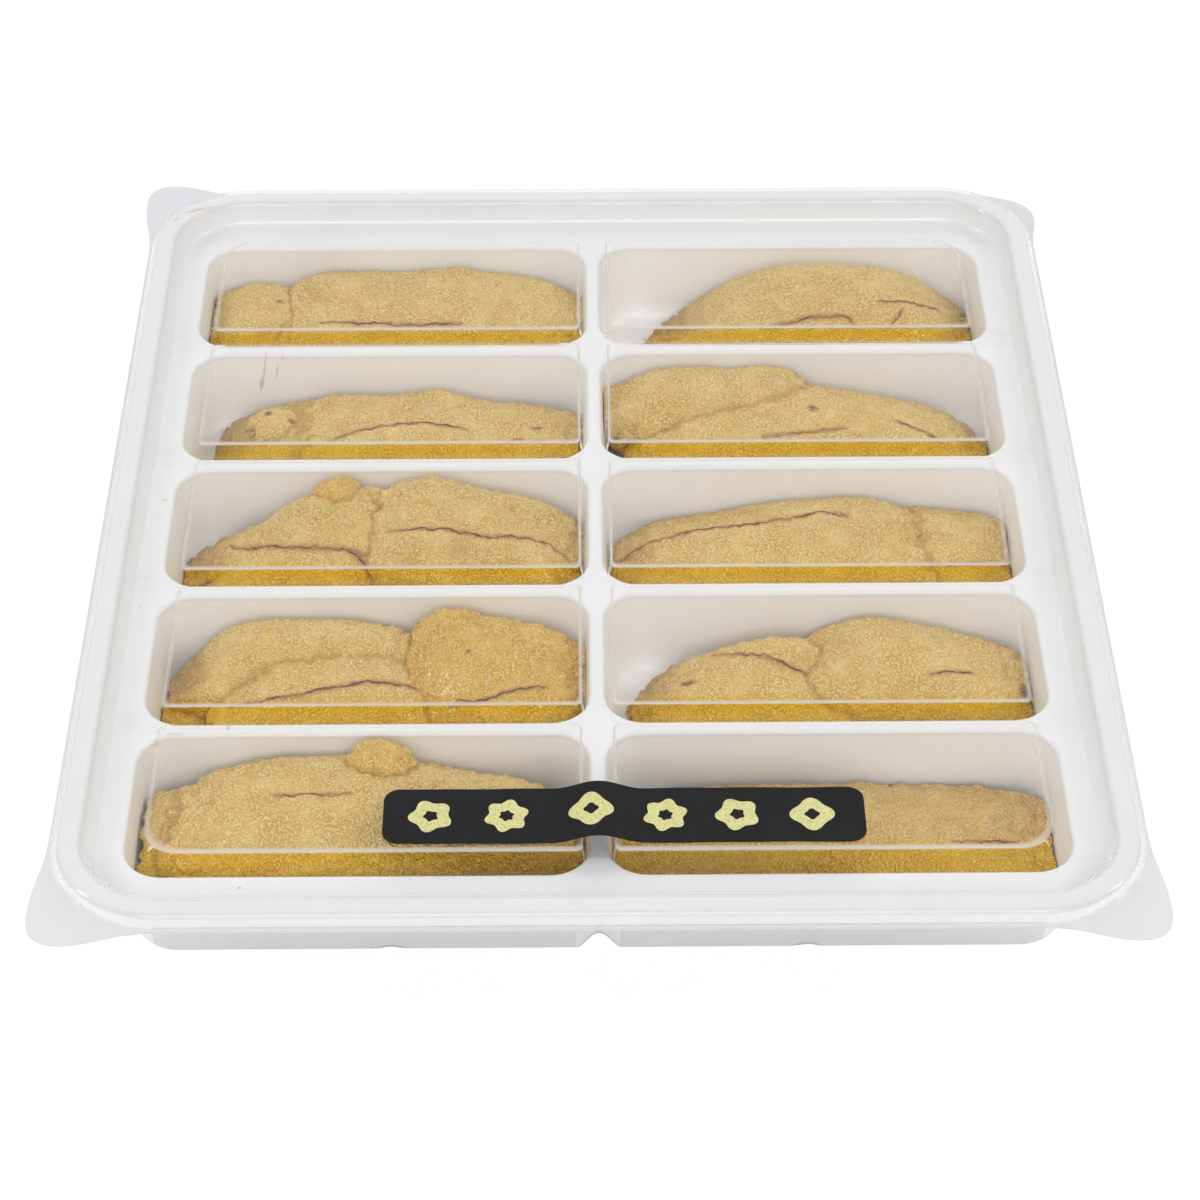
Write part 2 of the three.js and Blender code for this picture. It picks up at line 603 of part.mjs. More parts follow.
function makeLobe(size, earlier) {
  let solid = toSolid(lobeGeometry(size, 0));
  for (const neighbour of earlier) {
    if (neighbour.at[0] === size.at[0] && neighbour.at[1] === size.at[1]) {
      solid = solid.subtract(toSolid(lobeGeometry(neighbour, CLEARANCE)));
    }
  }
  return solid;
}

// ---- the pack -----------------------------------------------------------------------------

function piece(name, solid, finish) {
  const material = new THREE.MeshStandardMaterial({ ...finish, name: `${name}_material` });
  const mesh = new THREE.Mesh(toGeometry(solid), material);
  mesh.name = name;
  return mesh;
}

const pack = new THREE.Group();
pack.name = 'urchin_roe_pack';
pack.add(piece('tray', makeTray(), WHITE_PLASTIC));
pack.add(piece('lid', makeLid(), CLEAR_PLASTIC));
pack.add(piece('label', makeLabel(), LABEL_FILM));
LOBES.forEach((size, index) => {
  const finish = size.orange ? ROE_ORANGE : ROE_YELLOW;
  pack.add(piece(size.name, makeLobe(size, LOBES.slice(0, index)), finish));
});

export default pack;
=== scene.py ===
"""Sea urchin roe in its retail pack: a white compartment tray filled with roe lobes, a clear lid
with raised pads, and a label strip. Lengths are in millimetres up to each mesh, which is in metres.
"""

import math

import bpy
import numpy as np
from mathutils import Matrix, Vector, noise
from mathutils.bvhtree import BVHTree


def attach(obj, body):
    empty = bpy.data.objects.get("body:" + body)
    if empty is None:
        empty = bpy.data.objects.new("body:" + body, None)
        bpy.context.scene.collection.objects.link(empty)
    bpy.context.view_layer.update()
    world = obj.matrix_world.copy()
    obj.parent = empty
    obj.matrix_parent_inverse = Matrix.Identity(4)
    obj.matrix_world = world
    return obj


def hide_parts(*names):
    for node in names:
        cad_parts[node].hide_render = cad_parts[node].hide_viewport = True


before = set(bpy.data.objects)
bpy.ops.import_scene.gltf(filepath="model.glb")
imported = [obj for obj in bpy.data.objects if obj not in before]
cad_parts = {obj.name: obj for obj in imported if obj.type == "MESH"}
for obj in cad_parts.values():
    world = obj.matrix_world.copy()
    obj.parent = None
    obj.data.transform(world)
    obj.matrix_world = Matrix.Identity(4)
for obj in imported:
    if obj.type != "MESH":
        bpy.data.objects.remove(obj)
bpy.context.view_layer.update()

# ---- Camera, floor and light ---------------------------------------------------------------
# The pack lies on a plain white floor, seen from above its label side. Soft boxes light it from
# the left, the right and the front, and a white surround, brightest above the far side, fills in.

MM = 0.001
DECK_Z = 20.5
CAMERA_TARGET = (0.8, -23.5, DECK_Z)
CAMERA_ELEVATION = math.radians(41.6)
CAMERA_YAW = math.radians(0.5)
CAMERA_DISTANCE = 628
CAMERA_LENS = 93.84
BRIGHTEST_WAY, SURROUND_FOCUS = (0, 0.8, 0.6), 4
SURROUND_DIM, SURROUND_BRIGHT = 0.38, 1.3
FLOOR_HALF = 3000
FLOOR_GLOW, FLOOR_SHADE = 0.87, 0.2
WHITE = (1, 1, 1, 1)

scene = bpy.context.scene
forward = Vector((
    math.sin(CAMERA_YAW) * math.cos(CAMERA_ELEVATION),
    math.cos(CAMERA_YAW) * math.cos(CAMERA_ELEVATION),
    -math.sin(CAMERA_ELEVATION),
))
camera = bpy.data.objects.new("camera", bpy.data.cameras.new("camera"))
camera.data.lens = CAMERA_LENS
camera.data.sensor_width = 36
camera.location = (Vector(CAMERA_TARGET) - forward * CAMERA_DISTANCE) * MM
camera.rotation_euler = forward.to_track_quat("-Z", "Y").to_euler()
scene.collection.objects.link(camera)
scene.camera = camera
scene.view_settings.view_transform = "Standard"


def soft_box(name, place, width, height, power):
    """An area light that looks at the pack from a place in metres."""
    light = bpy.data.lights.new(name, "AREA")
    light.shape = "RECTANGLE"
    light.size = width
    light.size_y = height
    light.energy = power
    box = bpy.data.objects.new(name, light)
    box.location = place
    box.rotation_euler = (-Vector(place)).to_track_quat("-Z", "Y").to_euler()
    scene.collection.objects.link(box)


soft_box("soft_box_left", (-1.0, -0.1, 0.75), 0.16, 0.35, 2.1)
soft_box("soft_box_right", (1.0, -0.1, 0.75), 0.16, 0.35, 2.1)
soft_box("soft_box_front", (0, -2.1, 1.5), 2.0, 1.0, 21)


def wire(tree, node, inputs):
    """Gives a node's inputs their values. A node as a value stands for its first output."""
    for key, value in inputs.items():
        if isinstance(value, bpy.types.Node):
            value = value.outputs[0]
        if isinstance(value, bpy.types.NodeSocket):
            tree.links.new(value, node.inputs[key])
        else:
            node.inputs[key].default_value = value
    return node


def add(tree, kind, inputs=None, **settings):
    """A new node with its settings, and values for some of its inputs."""
    node = tree.nodes.new(kind)
    for name, value in settings.items():
        setattr(node, name, value)
    return wire(tree, node, inputs or {})


def maths(tree, operation, *values):
    """One step of arithmetic on each point's values."""
    return add(tree, "ShaderNodeMath", dict(enumerate(values)), operation=operation)


def mapped(tree, value, low, high, to_low=0.0, to_high=1.0, **settings):
    """A value that goes from to_low to to_high as another goes from low to high."""
    return add(tree, "ShaderNodeMapRange", {
        "Value": value, "From Min": low, "From Max": high, "To Min": to_low, "To Max": to_high
    }, **settings)


world = bpy.data.worlds.new("white_surround")
world.use_nodes = True
tree = world.node_tree
direction = add(tree, "ShaderNodeTexCoord").outputs["Generated"]
towards = add(
    tree, "ShaderNodeVectorMath", {0: direction, 1: BRIGHTEST_WAY}, operation="DOT_PRODUCT"
)
nearness = mapped(tree, towards.outputs["Value"], -1, 1)
falling = maths(tree, "POWER", nearness, SURROUND_FOCUS)
wire(tree, tree.nodes["Background"], {
    "Color": WHITE, "Strength": mapped(tree, falling, 0, 1, SURROUND_DIM, SURROUND_BRIGHT)
})
scene.world = world


def make_mesh(name, points, faces, edges=()):
    """A smooth mesh object at the origin, from points in millimetres."""
    mesh = bpy.data.meshes.new(name)
    mesh.from_pydata([(x * MM, y * MM, z * MM) for x, y, z in points], edges, faces)
    mesh.update()
    mesh.shade_smooth()
    made = bpy.data.objects.new(name, mesh)
    scene.collection.objects.link(made)
    return made


def new_material(name):
    """A material, its node tree and its main shader."""
    material = bpy.data.materials.new(name)
    material.use_nodes = True
    return material, material.node_tree, material.node_tree.nodes["Principled BSDF"]


def place_in(tree):
    """Where a point lies on its piece, for patterns that stay fixed to it."""
    return add(tree, "ShaderNodeTexCoord").outputs["Object"]


corners = ((-1, -1), (1, -1), (1, 1), (-1, 1))
floor = make_mesh(
    "floor", [(side * FLOOR_HALF, end * FLOOR_HALF, 0) for side, end in corners], [(0, 1, 2, 3)]
)
floor_paper, tree, shader = new_material("floor_paper")
wire(tree, shader, {
    "Base Color": (0.95, 0.95, 0.95, 1), "Roughness": 1, "Specular IOR Level": 0
})
glow = add(tree, "ShaderNodeEmission", {"Strength": FLOOR_GLOW / (1 - FLOOR_SHADE)})
washed = add(tree, "ShaderNodeMixShader", {0: FLOOR_SHADE, 1: glow, 2: shader})
seen = add(tree, "ShaderNodeLightPath").outputs["Is Camera Ray"]
mix = add(tree, "ShaderNodeMixShader", {0: seen, 1: shader, 2: washed})
wire(tree, tree.nodes["Material Output"], {"Surface": mix})
floor.data.materials.append(floor_paper)

# ---- Tray ----------------------------------------------------------------------------------
# One white sheet, thermoformed into two columns of five compartments, with a hollow raised rim
# round them. It carries the roe and stands on the undersides of its compartments.

OPENING_X, OPENING_Y = 85.9, 36.9
DIVIDER = 3.2
COLUMNS, ROWS = 2, 5
SHEET = 0.6
MOUTH_RADIUS = 7.5
LIP_RADIUS = 0.9
WALL_DRAFT = 1.1
FLOOR_FILLET = 6
FILLET_SPREAD = 0.9
DECK_MARGIN_X, DECK_MARGIN_Y = 5.8, 9.2
RIM_RISE, RIM_RUN, RIM_WIDTH = 5.5, 1.5, 4.4
RIM_FOOT_RADIUS = 14
RIM_ROUND = 1
RIM_LEG_Z = DECK_Z + 2.6
BODY_TOP_RADIUS, BODY_FOOT_RADIUS = 8.1, 9
BODY_EDGE, BODY_DRAFT = 0.8, 0.55
VALLEY_END = 6
# Each flute in an end face: x, half width, depth. The outer ones fade: height, share left.
FLUTES = ((0, 4.9, 4), (-39, 4.5, 0.9), (39, 4.5, 0.9))
FLUTE_FADE = ((-1, 1), (4, 0.8), (8, 0.5), (13, 0.15), (DECK_Z - SHEET, 0))
# Painted light and shade by height: greyer at the compartments' mouths, lighter as painted light
# down the compartments' walls and up the rim's inner wall, darker as painted shade on the rim's
# top: heights, and how white it is.
SHADE_BY_HEIGHT = ((SHEET, 0.95), (DECK_Z - 1.6, 0.95), (DECK_Z - 0.4, 0.83), (DECK_Z + 0.4, 0.83),
         (DECK_Z + 1.2, 0.96), (DECK_Z + RIM_RISE - 1, 0.95), (DECK_Z + RIM_RISE - 0.5, 0.77))
# Painted shade: the grey at the foot, the grey on the rim's top, and the darker outer walls.
FOOT_SHADE, RIM_TOP_SHADE, OUTER_WALL_SHADE = (0.45, 0.45, 0.46, 1), (0.77, 0.77, 0.77, 1), 0.84
OUTER_WALL_FROM, OUTER_WALL_TO = 6, 4
CLOUD_SIZE, DIMPLE_SIZE, DIMPLE_DEPTH, SMEAR_GRAIN = 25, 6, 0.06, 1.3
SMEAR_RAGGEDNESS, SMEAR_EDGE = 1.6, (1.1, 1.8)
BROWN, RUST, GREY = (0.42, 0.20, 0.08, 1), (0.60, 0.38, 0.15, 1), (0.30, 0.27, 0.25, 1)

CELLS = [(column, row) for row in range(ROWS) for column in range(COLUMNS)]
PITCH_X, PITCH_Y = OPENING_X + DIVIDER, OPENING_Y + DIVIDER
FIELD_X = (PITCH_X * COLUMNS - DIVIDER) / 2
FIELD_Y = (PITCH_Y * ROWS - DIVIDER) / 2
FOOT_X, FOOT_Y = FIELD_X + DECK_MARGIN_X, FIELD_Y + DECK_MARGIN_Y
RIM_TOP_Z = DECK_Z + RIM_RISE
RIM_X, RIM_Y = FOOT_X + RIM_RUN + RIM_WIDTH, FOOT_Y + RIM_RUN + RIM_WIDTH
RIM_RADIUS = RIM_FOOT_RADIUS + RIM_RUN + RIM_WIDTH


def column_x(column):
    """Where a column's middle lies; column 0 is on the left, and row 0 is the farthest."""
    return (column - (COLUMNS - 1) / 2) * PITCH_X


def row_y(row):
    return ((ROWS - 1) / 2 - row) * PITCH_Y


def ring(z, left, right, front, back, radii, steps=12):
    """A rounded rectangle at height z, seen anticlockwise from its right back corner."""
    points = []
    for corner, (x, y, side, end) in enumerate((
        (right, back, 1, 1), (left, back, -1, 1), (left, front, -1, -1), (right, front, 1, -1)
    )):
        radius = radii[corner]
        for step in range(steps + 1):
            angle = math.pi / 2 * (corner + step / steps)
            points.append((
                x - side * radius + radius * math.cos(angle),
                y - end * radius + radius * math.sin(angle),
                z,
            ))
    return points


def even_ring(z, half_x, half_y, radius, outset=0):
    """The same, round the middle of the pack, moved outwards by outset with its corners."""
    x, y = half_x + outset, half_y + outset
    return ring(z, -x, x, -y, y, [max(radius + outset, 0.3)] * 4)


def loft(name, rings):
    """A closed body through rings of equal length, lowest first."""
    count = len(rings[0])
    points = [point for level in rings for point in level]
    faces = []
    for level in range(len(rings) - 1):
        start = level * count
        for i in range(count):
            j = (i + 1) % count
            faces.append((start + i, start + j, start + count + j, start + count + i))
    faces.append(tuple(reversed(range(count))))
    faces.append(tuple(range(len(points) - count, len(points))))
    return make_mesh(name, points, faces)


def baked(piece):
    """Turns a piece's modifiers into plain mesh."""
    depsgraph = bpy.context.evaluated_depsgraph_get()
    mesh = bpy.data.meshes.new_from_object(piece.evaluated_get(depsgraph))
    piece.modifiers.clear()
    old = piece.data
    piece.data = mesh
    bpy.data.meshes.remove(old)
    return piece


def combine(piece, operation, tools):
    """Adds, cuts out or keeps in common each tool in turn, and removes the tools."""
    for tool in tools:
        modifier = piece.modifiers.new(tool.name, "BOOLEAN")
        modifier.operation = operation
        modifier.solver = "MANIFOLD"
        modifier.object = tool
    baked(piece)
    for tool in tools:
        mesh = tool.data
        bpy.data.objects.remove(tool)
        bpy.data.meshes.remove(mesh)
    return piece


def even_shading(piece, sharp_from):
    """Smooth shading that leaves flat faces flat and keeps corners above an angle sharp."""
    piece.data.shade_smooth()
    piece.data.set_sharp_from_angle(angle=math.radians(sharp_from))
    modifier = piece.modifiers.new("even_shading", "WEIGHTED_NORMAL")
    modifier.weight = 100
    modifier.keep_sharp = True
    return baked(piece)


def arc(steps, start=0.0, end=90.0):
    """Cosines and sines from one angle to another, in degrees."""
    for step in range(steps + 1):
        angle = math.radians(start + (end - start) * step / steps)
        yield math.cos(angle), math.sin(angle)


def rounded(high_z, edge, radius, steps=6):
    """Heights and outsets up an edge's quarter circle; with a negative radius it turns inwards."""
    return [
        (high_z - abs(radius) * (1 - up), edge + radius * (1 - along)) for along, up in arc(steps)
    ]


def rim_block(name, low_z, high_z, outset, round_=RIM_ROUND):
    """The outside of the rim, from low_z up to a rounded top edge at high_z."""
    levels = [(low_z, outset)] + rounded(high_z, outset, -round_)
    return loft(name, [even_ring(z, RIM_X, RIM_Y, RIM_RADIUS, out) for z, out in levels])


def basin(name, low_z, outset, high_z=RIM_TOP_Z + 1, fillet=0.0, flare_z=None, flare=0.0):
    """The hollow inside the rim: a wall that leans outwards, from a round foot to a round edge."""
    def lean(z):
        return RIM_RUN * (z - DECK_Z) / RIM_RISE

    levels = []
    if fillet:
        for along, up in arc(6, 90, 0):
            z = low_z + fillet * (1 - up)
            levels.append((z, lean(z) - fillet * (1 - along)))
    else:
        levels.append((low_z, lean(low_z)))
    if flare_z is None:
        levels.append((high_z, lean(high_z)))
    else:
        levels += [(z, lean(z) + out) for z, out in rounded(flare_z, 0, flare)]
        levels.append((high_z, lean(flare_z) + flare))
    return loft(name, [
        even_ring(z, FOOT_X, FOOT_Y, RIM_FOOT_RADIUS, outset + out) for z, out in levels
    ])


def compartment(column, row):
    """The space of one compartment: a filleted floor, leaning walls and a rounded mouth."""
    levels = []
    for along, up in arc(8):
        levels.append((
            SHEET + FLOOR_FILLET * (1 - along),
            WALL_DRAFT + FLOOR_FILLET * FILLET_SPREAD * (1 - up),
        ))
    levels += rounded(DECK_Z, 0, -LIP_RADIUS) + [(DECK_Z + 1, -LIP_RADIUS)]
    x, y = column_x(column), row_y(row)
    rings = []
    for z, inset in levels:
        half_x, half_y = OPENING_X / 2 - inset, OPENING_Y / 2 - inset
        rings.append(ring(
            z, x - half_x, x + half_x, y - half_y, y + half_y, [max(MOUTH_RADIUS - inset, 1)] * 4
        ))
    return loft("compartment", rings)


def flute(x, half_width, depth, face_y):
    """A bell-shaped upright flute in an end face of the body; face_y's sign says which. Away
    from the middle it dies out upwards."""
    sign = 1 if face_y < 0 else -1
    levels = []
    for z, left in FLUTE_FADE if x else ((-1, 1), (DECK_Z - SHEET, 1)):
        outline = [(x - half_width, face_y - sign), (x + half_width, face_y - sign)]
        for step in range(17):
            t = 1 - 2 * step / 16
            bell = 0.5 + 0.5 * math.cos(math.pi * t)
            outline.append((x + half_width * t, face_y + sign * depth * bell * left))
        if sign < 0:
            outline.reverse()
        levels.append([(px, py, z) for px, py in outline])
    return loft("flute", levels)


def valley(half_length, along_x, x, y):
    """The hollow below a divider, open downwards."""
    rings = []
    for z, half in ((-1, DIVIDER / 2 + WALL_DRAFT - SHEET), (DECK_Z - SHEET, DIVIDER / 2 - SHEET)):
        half_x, half_y = (half_length, half) if along_x else (half, half_length)
        rings.append(ring(
            z, x - half_x, x + half_x, y - half_y, y + half_y, [half * 0.5] * 4, 2
        ))
    return loft("valley", rings)


foot_x, foot_y = FIELD_X + SHEET - BODY_DRAFT, FIELD_Y + SHEET - BODY_DRAFT
body_rings = []
for along, up in arc(5):
    body_rings.append(even_ring(
        BODY_EDGE * (1 - along), foot_x, foot_y, BODY_FOOT_RADIUS, -BODY_EDGE * (1 - up)
    ))
body_rings.append(even_ring(DECK_Z - SHEET / 2, FIELD_X + SHEET, FIELD_Y + SHEET, BODY_TOP_RADIUS))

tray = rim_block("tray", DECK_Z - SHEET, RIM_TOP_Z, 0)
rim_hollow = rim_block("rim_hollow", DECK_Z - SHEET - 1, RIM_TOP_Z - SHEET, -SHEET)
combine(rim_hollow, "UNION", [loft("rim_leg", [
    even_ring(z, RIM_X, RIM_Y, RIM_RADIUS, 1) for z in (DECK_Z - SHEET - 1, RIM_LEG_Z)
])])
combine(rim_hollow, "DIFFERENCE", [basin(
    "rim_inner", DECK_Z - RIM_RISE, SHEET, flare_z=RIM_TOP_Z - SHEET, flare=0.5
)])
combine(tray, "DIFFERENCE", [
    rim_hollow,
    basin("deck_basin", DECK_Z, 0, fillet=1.2, flare_z=RIM_TOP_Z, flare=1.0),
])
combine(tray, "UNION", [loft("body", body_rings)])
combine(tray, "DIFFERENCE", [compartment(*cell) for cell in CELLS])
flutes = [(*sizes, face_y) for face_y in (-foot_y, foot_y) for sizes in FLUTES]
combine(tray, "UNION", [
    combine(
        flute(x, half + SHEET, depth + SHEET, face_y), "INTERSECT", [loft("body", body_rings)]
    ) for x, half, depth, face_y in flutes
])
combine(tray, "DIFFERENCE", [flute(*sizes) for sizes in flutes])
combine(tray, "DIFFERENCE", [valley(FIELD_Y - VALLEY_END, False, 0, 0)] + [
    valley(FIELD_X - VALLEY_END, True, 0, row_y(row) - PITCH_Y / 2) for row in range(ROWS - 1)
])
tray.data.materials.clear()
even_shading(tray, 40)


def new_group(name, kind, inputs, output, output_kind):
    """An empty node group with named inputs and one output, and its first and last nodes."""
    group = bpy.data.node_groups.new(name, kind)
    for title, socket in inputs:
        group.interface.new_socket(title, in_out="INPUT", socket_type="NodeSocket" + socket)
    group.interface.new_socket(output, in_out="OUTPUT", socket_type="NodeSocket" + output_kind)
    return group, group.nodes.new("NodeGroupInput"), group.nodes.new("NodeGroupOutput")


smear, start, end = new_group("smear", "ShaderNodeTree", (
    ("Position", "Vector"), ("Middle", "Vector"), ("Half Size", "Vector"), ("Turn", "Vector"),
    ("Raggedness", "Float"),
), "Mask", "Float")
placed = add(smear, "ShaderNodeMapping", {
    "Vector": start.outputs["Position"], "Location": start.outputs["Middle"],
    "Rotation": start.outputs["Turn"], "Scale": start.outputs["Half Size"],
}, vector_type="TEXTURE")
away = add(smear, "ShaderNodeVectorMath", {0: placed}, operation="LENGTH").outputs["Value"]
reach = maths(smear, "MULTIPLY_ADD", start.outputs["Raggedness"], SMEAR_RAGGEDNESS, away)
wire(smear, end, {"Mask": mapped(smear, reach, *SMEAR_EDGE, 1, 0)})

# Each smear: middle, half size, turn about Y and Z in degrees, how strong, and its colour.
SMEARS = (
    ((-91, 106.4, 26.5), (4.2, 0.6, 2), (0, 25), 0.9, RUST),
    ((-95.3, 103, 26.5), (1.6, 0.6, 2), (0, 50), 0.5, RUST),
    ((-73.4, 58, 13), (0.7, 3, 2.6), (9, 0), 0.75, RUST),
    ((-72.6, 58, 17), (0.35, 3, 4), (9, 0), 0.6, RUST),
    ((-69.9, 58, 16), (0.3, 3, 3.4), (9, 0), 0.5, RUST),
    ((-68.4, 58, 19.5), (0.5, 3, 1.2), (0, 0), 0.4, RUST),
    ((-84.2, -63, 20.5), (1.2, 0.5, 2), (0, 60), 0.5, RUST),
    ((-81.2, -61.4, 20.5), (2.2, 0.3, 2), (0, 0), 0.4, RUST),
    ((-70.9, -60.2, 20.5), (0.45, 0.45, 2), (0, 0), 0.6, GREY),
    ((-65.5, -101.8, 20.5), (0.45, 0.4, 2), (0, 0), 0.6, GREY),
    ((-50, 107.4, 26), (1, 0.5, 2), (0, 0), 0.6, BROWN),
    ((4.4, 98.6, 15.8), (0.4, 2, 0.5), (0, 0), 0.6, BROWN),
    ((-89.5, 8.7, 20.5), (0.6, 0.5, 2), (0, 0), 0.5, GREY),
    ((-86.5, -27.2, 20.5), (0.5, 0.5, 2), (0, 0), 0.5, GREY),
    ((-91.5, -24.8, 20.5), (0.6, 0.4, 2), (0, 30), 0.5, RUST),
    ((-95.6, -38.8, 23), (0.8, 3, 3), (0, 0), 0.35, RUST),
)


def cloud(tree, place, size, detail, roughness=0.5):
    """Noise from 0 to 1 with features of a size in millimetres."""
    return add(tree, "ShaderNodeTexNoise", {
        "Vector": place, "Scale": 1 / (size * MM), "Detail": detail, "Roughness": roughness
    })


def ramp(tree, value, *stops):
    """A colour that runs through stops, each a place from 0 to 1 and a colour."""
    node = add(tree, "ShaderNodeValToRGB", {"Fac": value})
    elements = node.color_ramp.elements
    (elements[0].position, elements[0].color) = stops[0]
    (elements[1].position, elements[1].color) = stops[-1]
    for position, colour in stops[1:-1]:
        elements.new(position).color = colour
    return node


def blend(tree, amount, under, over):
    """One colour laid over another."""
    node = add(tree, "ShaderNodeMix", {0: amount, 6: under, 7: over}, data_type="RGBA")
    return node.outputs[2]


tray_plastic, tree, shader = new_material("tray_plastic")
place = place_in(tree)
height = add(tree, "ShaderNodeSeparateXYZ", {0: place}).outputs["Z"]
# The tray's white, with painted light and shade by height.
white = ramp(tree, mapped(tree, height, 0, RIM_TOP_Z * MM), (0, FOOT_SHADE), *(
    (z / RIM_TOP_Z, (tone, tone, tone, 1)) for z, tone in SHADE_BY_HEIGHT
), (1, RIM_TOP_SHADE))
cloudy = cloud(tree, place, CLOUD_SIZE, 3)
facing = add(tree, "ShaderNodeNewGeometry").outputs["Normal"]
outwards = add(tree, "ShaderNodeVectorMath", {0: place, 1: facing}, operation="MULTIPLY")
outwards = add(tree, "ShaderNodeSeparateXYZ", {0: outwards}).outputs
outwards = maths(tree, "MAXIMUM", outwards["X"], outwards["Y"])
# Painted shade on the body's outer walls: outward faces below the deck are darker.
outer = mapped(
    tree, outwards, (FIELD_X - OUTER_WALL_FROM) * MM, (FIELD_X - OUTER_WALL_TO) * MM
)
outer = maths(tree, "MULTIPLY", outer, maths(tree, "LESS_THAN", height, (DECK_Z - 1) * MM))
outer = mapped(tree, outer, 0, 1, 1, OUTER_WALL_SHADE)
tone = maths(tree, "MULTIPLY", mapped(tree, cloudy, 0.3, 0.7, 0.975, 1), outer)
colour = add(tree, "ShaderNodeVectorMath", {0: white, "Scale": tone}, operation="SCALE")
ragged = cloud(tree, place, SMEAR_GRAIN, 3)
for middle, half, (lean, turn), amount, tint in SMEARS:
    mark = add(tree, "ShaderNodeGroup", node_tree=smear)
    wire(tree, mark, {
        "Position": place, "Middle": [v * MM for v in middle], "Half Size": [v * MM for v in half],
        "Turn": (0, math.radians(lean), math.radians(turn)), "Raggedness": ragged,
    })
    colour = blend(tree, maths(tree, "MULTIPLY", mark, amount), colour, tint)
dimples = add(tree, "ShaderNodeBump", {
    "Strength": 0.5, "Distance": DIMPLE_DEPTH * MM, "Height": cloud(tree, place, DIMPLE_SIZE, 1)
})
wire(tree, shader, {
    "Base Color": colour, "Roughness": mapped(tree, cloudy, 0.3, 0.7, 0.32, 0.42),
    "Normal": dimples,
})
tray.data.materials.append(tray_plastic)
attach(tray, "root")
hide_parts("tray")

# ---- Lid -----------------------------------------------------------------------------------
# One clear thermoformed sheet, pushed over the tray's rim: a raised pad over each compartment with
# a lower shoulder out to the rim, a rounded cap, and a lip that widens into an ear at each corner.

CLEARANCE = 0.3
LID_SHEET = 0.5
LID_BASE_Z = DECK_Z + CLEARANCE
PAD_TOP_Z = LID_BASE_Z + 3.6
LID_TOP_Z = RIM_TOP_Z + CLEARANCE + LID_SHEET
SKIRT = CLEARANCE + LID_SHEET
SHOULDER_TOP_Z = LID_BASE_Z + 2.2
PAD_INSET, PAD_DIVIDER_INSET, PAD_SIDE_INSET, PAD_END_INSET = 1.1, 1.5, 4.4, 2.7
PAD_FOOT_INSET = 0.5
PAD_CORNER, PAD_OUTER_CORNER = 1.2, 6.5
SHOULDER_LEAN, SHOULDER_CORNER, SHOULDER_REACH = 0.25, 0.8, 20
LID_ROUND, RIM_SPACE_ROUND = 1.9, 1.1
LIP_Z = DECK_Z + 2.6
LIP_WIDTH = 0.9
EAR_REACH_X, EAR_REACH_Y = 2, 2.4
EAR_LENGTH_X, EAR_LENGTH_Y = 22, 24
EAR_CORNER = 7
EAR_DROOP = {(-1, -1): 0.4, (1, -1): 0.6, (-1, 1): -1, (1, 1): 2.4}
EAR_DROOP_SPAN = 6
EAR_POINTS = 49
LIP_PROFILE = (0, 0.06, 0.13, 0.22, 0.33, 0.47, 0.63, 0.8, 0.94, 1)
LIP_EDGE_ROUND = 0.12
LIP_FLARE, EAR_FLARE, FLARE_RUN = 0.3, 1.5, 1.6
# The lid gets a painted highlight, laid on as milk, where it bends over a pad's top edge: depths
# below the pad's top, and how strong it is.
BEND_HIGHLIGHT_DEPTHS, BEND_HIGHLIGHT_SHARES = (0.01, 0.08, 0.3, 0.5, 0.69), (0, 0.7, 1, 1, 0)
# How much of that painted highlight is taken off towards the rim's sides and on backward faces.
RIM_SIDE_CLEAR, BACK_CLEAR = 0.85, 0.8
# Tints of the lid's painted highlight and reflection, and of its milky ears.
HIGHLIGHT_TINT, EAR_TINT = (0.90, 0.88, 0.86, 1), (0.78, 0.785, 0.81, 1)
# How milky the lid is: a faint painted reflection over its upward faces, the painted highlight on
# the pads' bends, and the ears.
REFLECTION_VEIL, BEND_HIGHLIGHT, EAR_MILK = 0.015, 0.8, 0.8
FRONT_EAR_GREY = 0.7
CLEAR_TINT = (0.985, 0.985, 0.985, 1)


def pad(column, row, shrink, low_z, high_z, round_):
    """A raised pad, or with shrink the space under it; it leans in towards the rim's side."""
    side = -1 if column == 0 else 1
    end = 1 if row == 0 else (-1 if row == ROWS - 1 else 0)
    x, y = column_x(column), row_y(row)

    def level(z, extra):
        t = (z - LID_BASE_Z) / (PAD_TOP_Z - LID_BASE_Z)

        def inset(top):
            return PAD_FOOT_INSET + (top - PAD_FOOT_INSET) * t + shrink + extra

        outer, inner = inset(PAD_SIDE_INSET), inset(PAD_DIVIDER_INSET)
        left, right = (outer, inner) if side < 0 else (inner, outer)
        front = inset(PAD_END_INSET if end < 0 else PAD_INSET)
        back = inset(PAD_END_INSET if end > 0 else PAD_INSET)
        radii = []
        for corner_x, corner_y in ((1, 1), (-1, 1), (-1, -1), (1, -1)):
            outer_corner = corner_x == side and corner_y == end
            radii.append((PAD_OUTER_CORNER if outer_corner else PAD_CORNER) - shrink)
        return ring(
            z, x - OPENING_X / 2 + left, x + OPENING_X / 2 - right,
            y - OPENING_Y / 2 + front, y + OPENING_Y / 2 - back, radii, 8
        )

    levels = [(low_z, 0)] + rounded(high_z, 0, round_, 5)
    return loft("pad", [level(z, extra) for z, extra in levels])


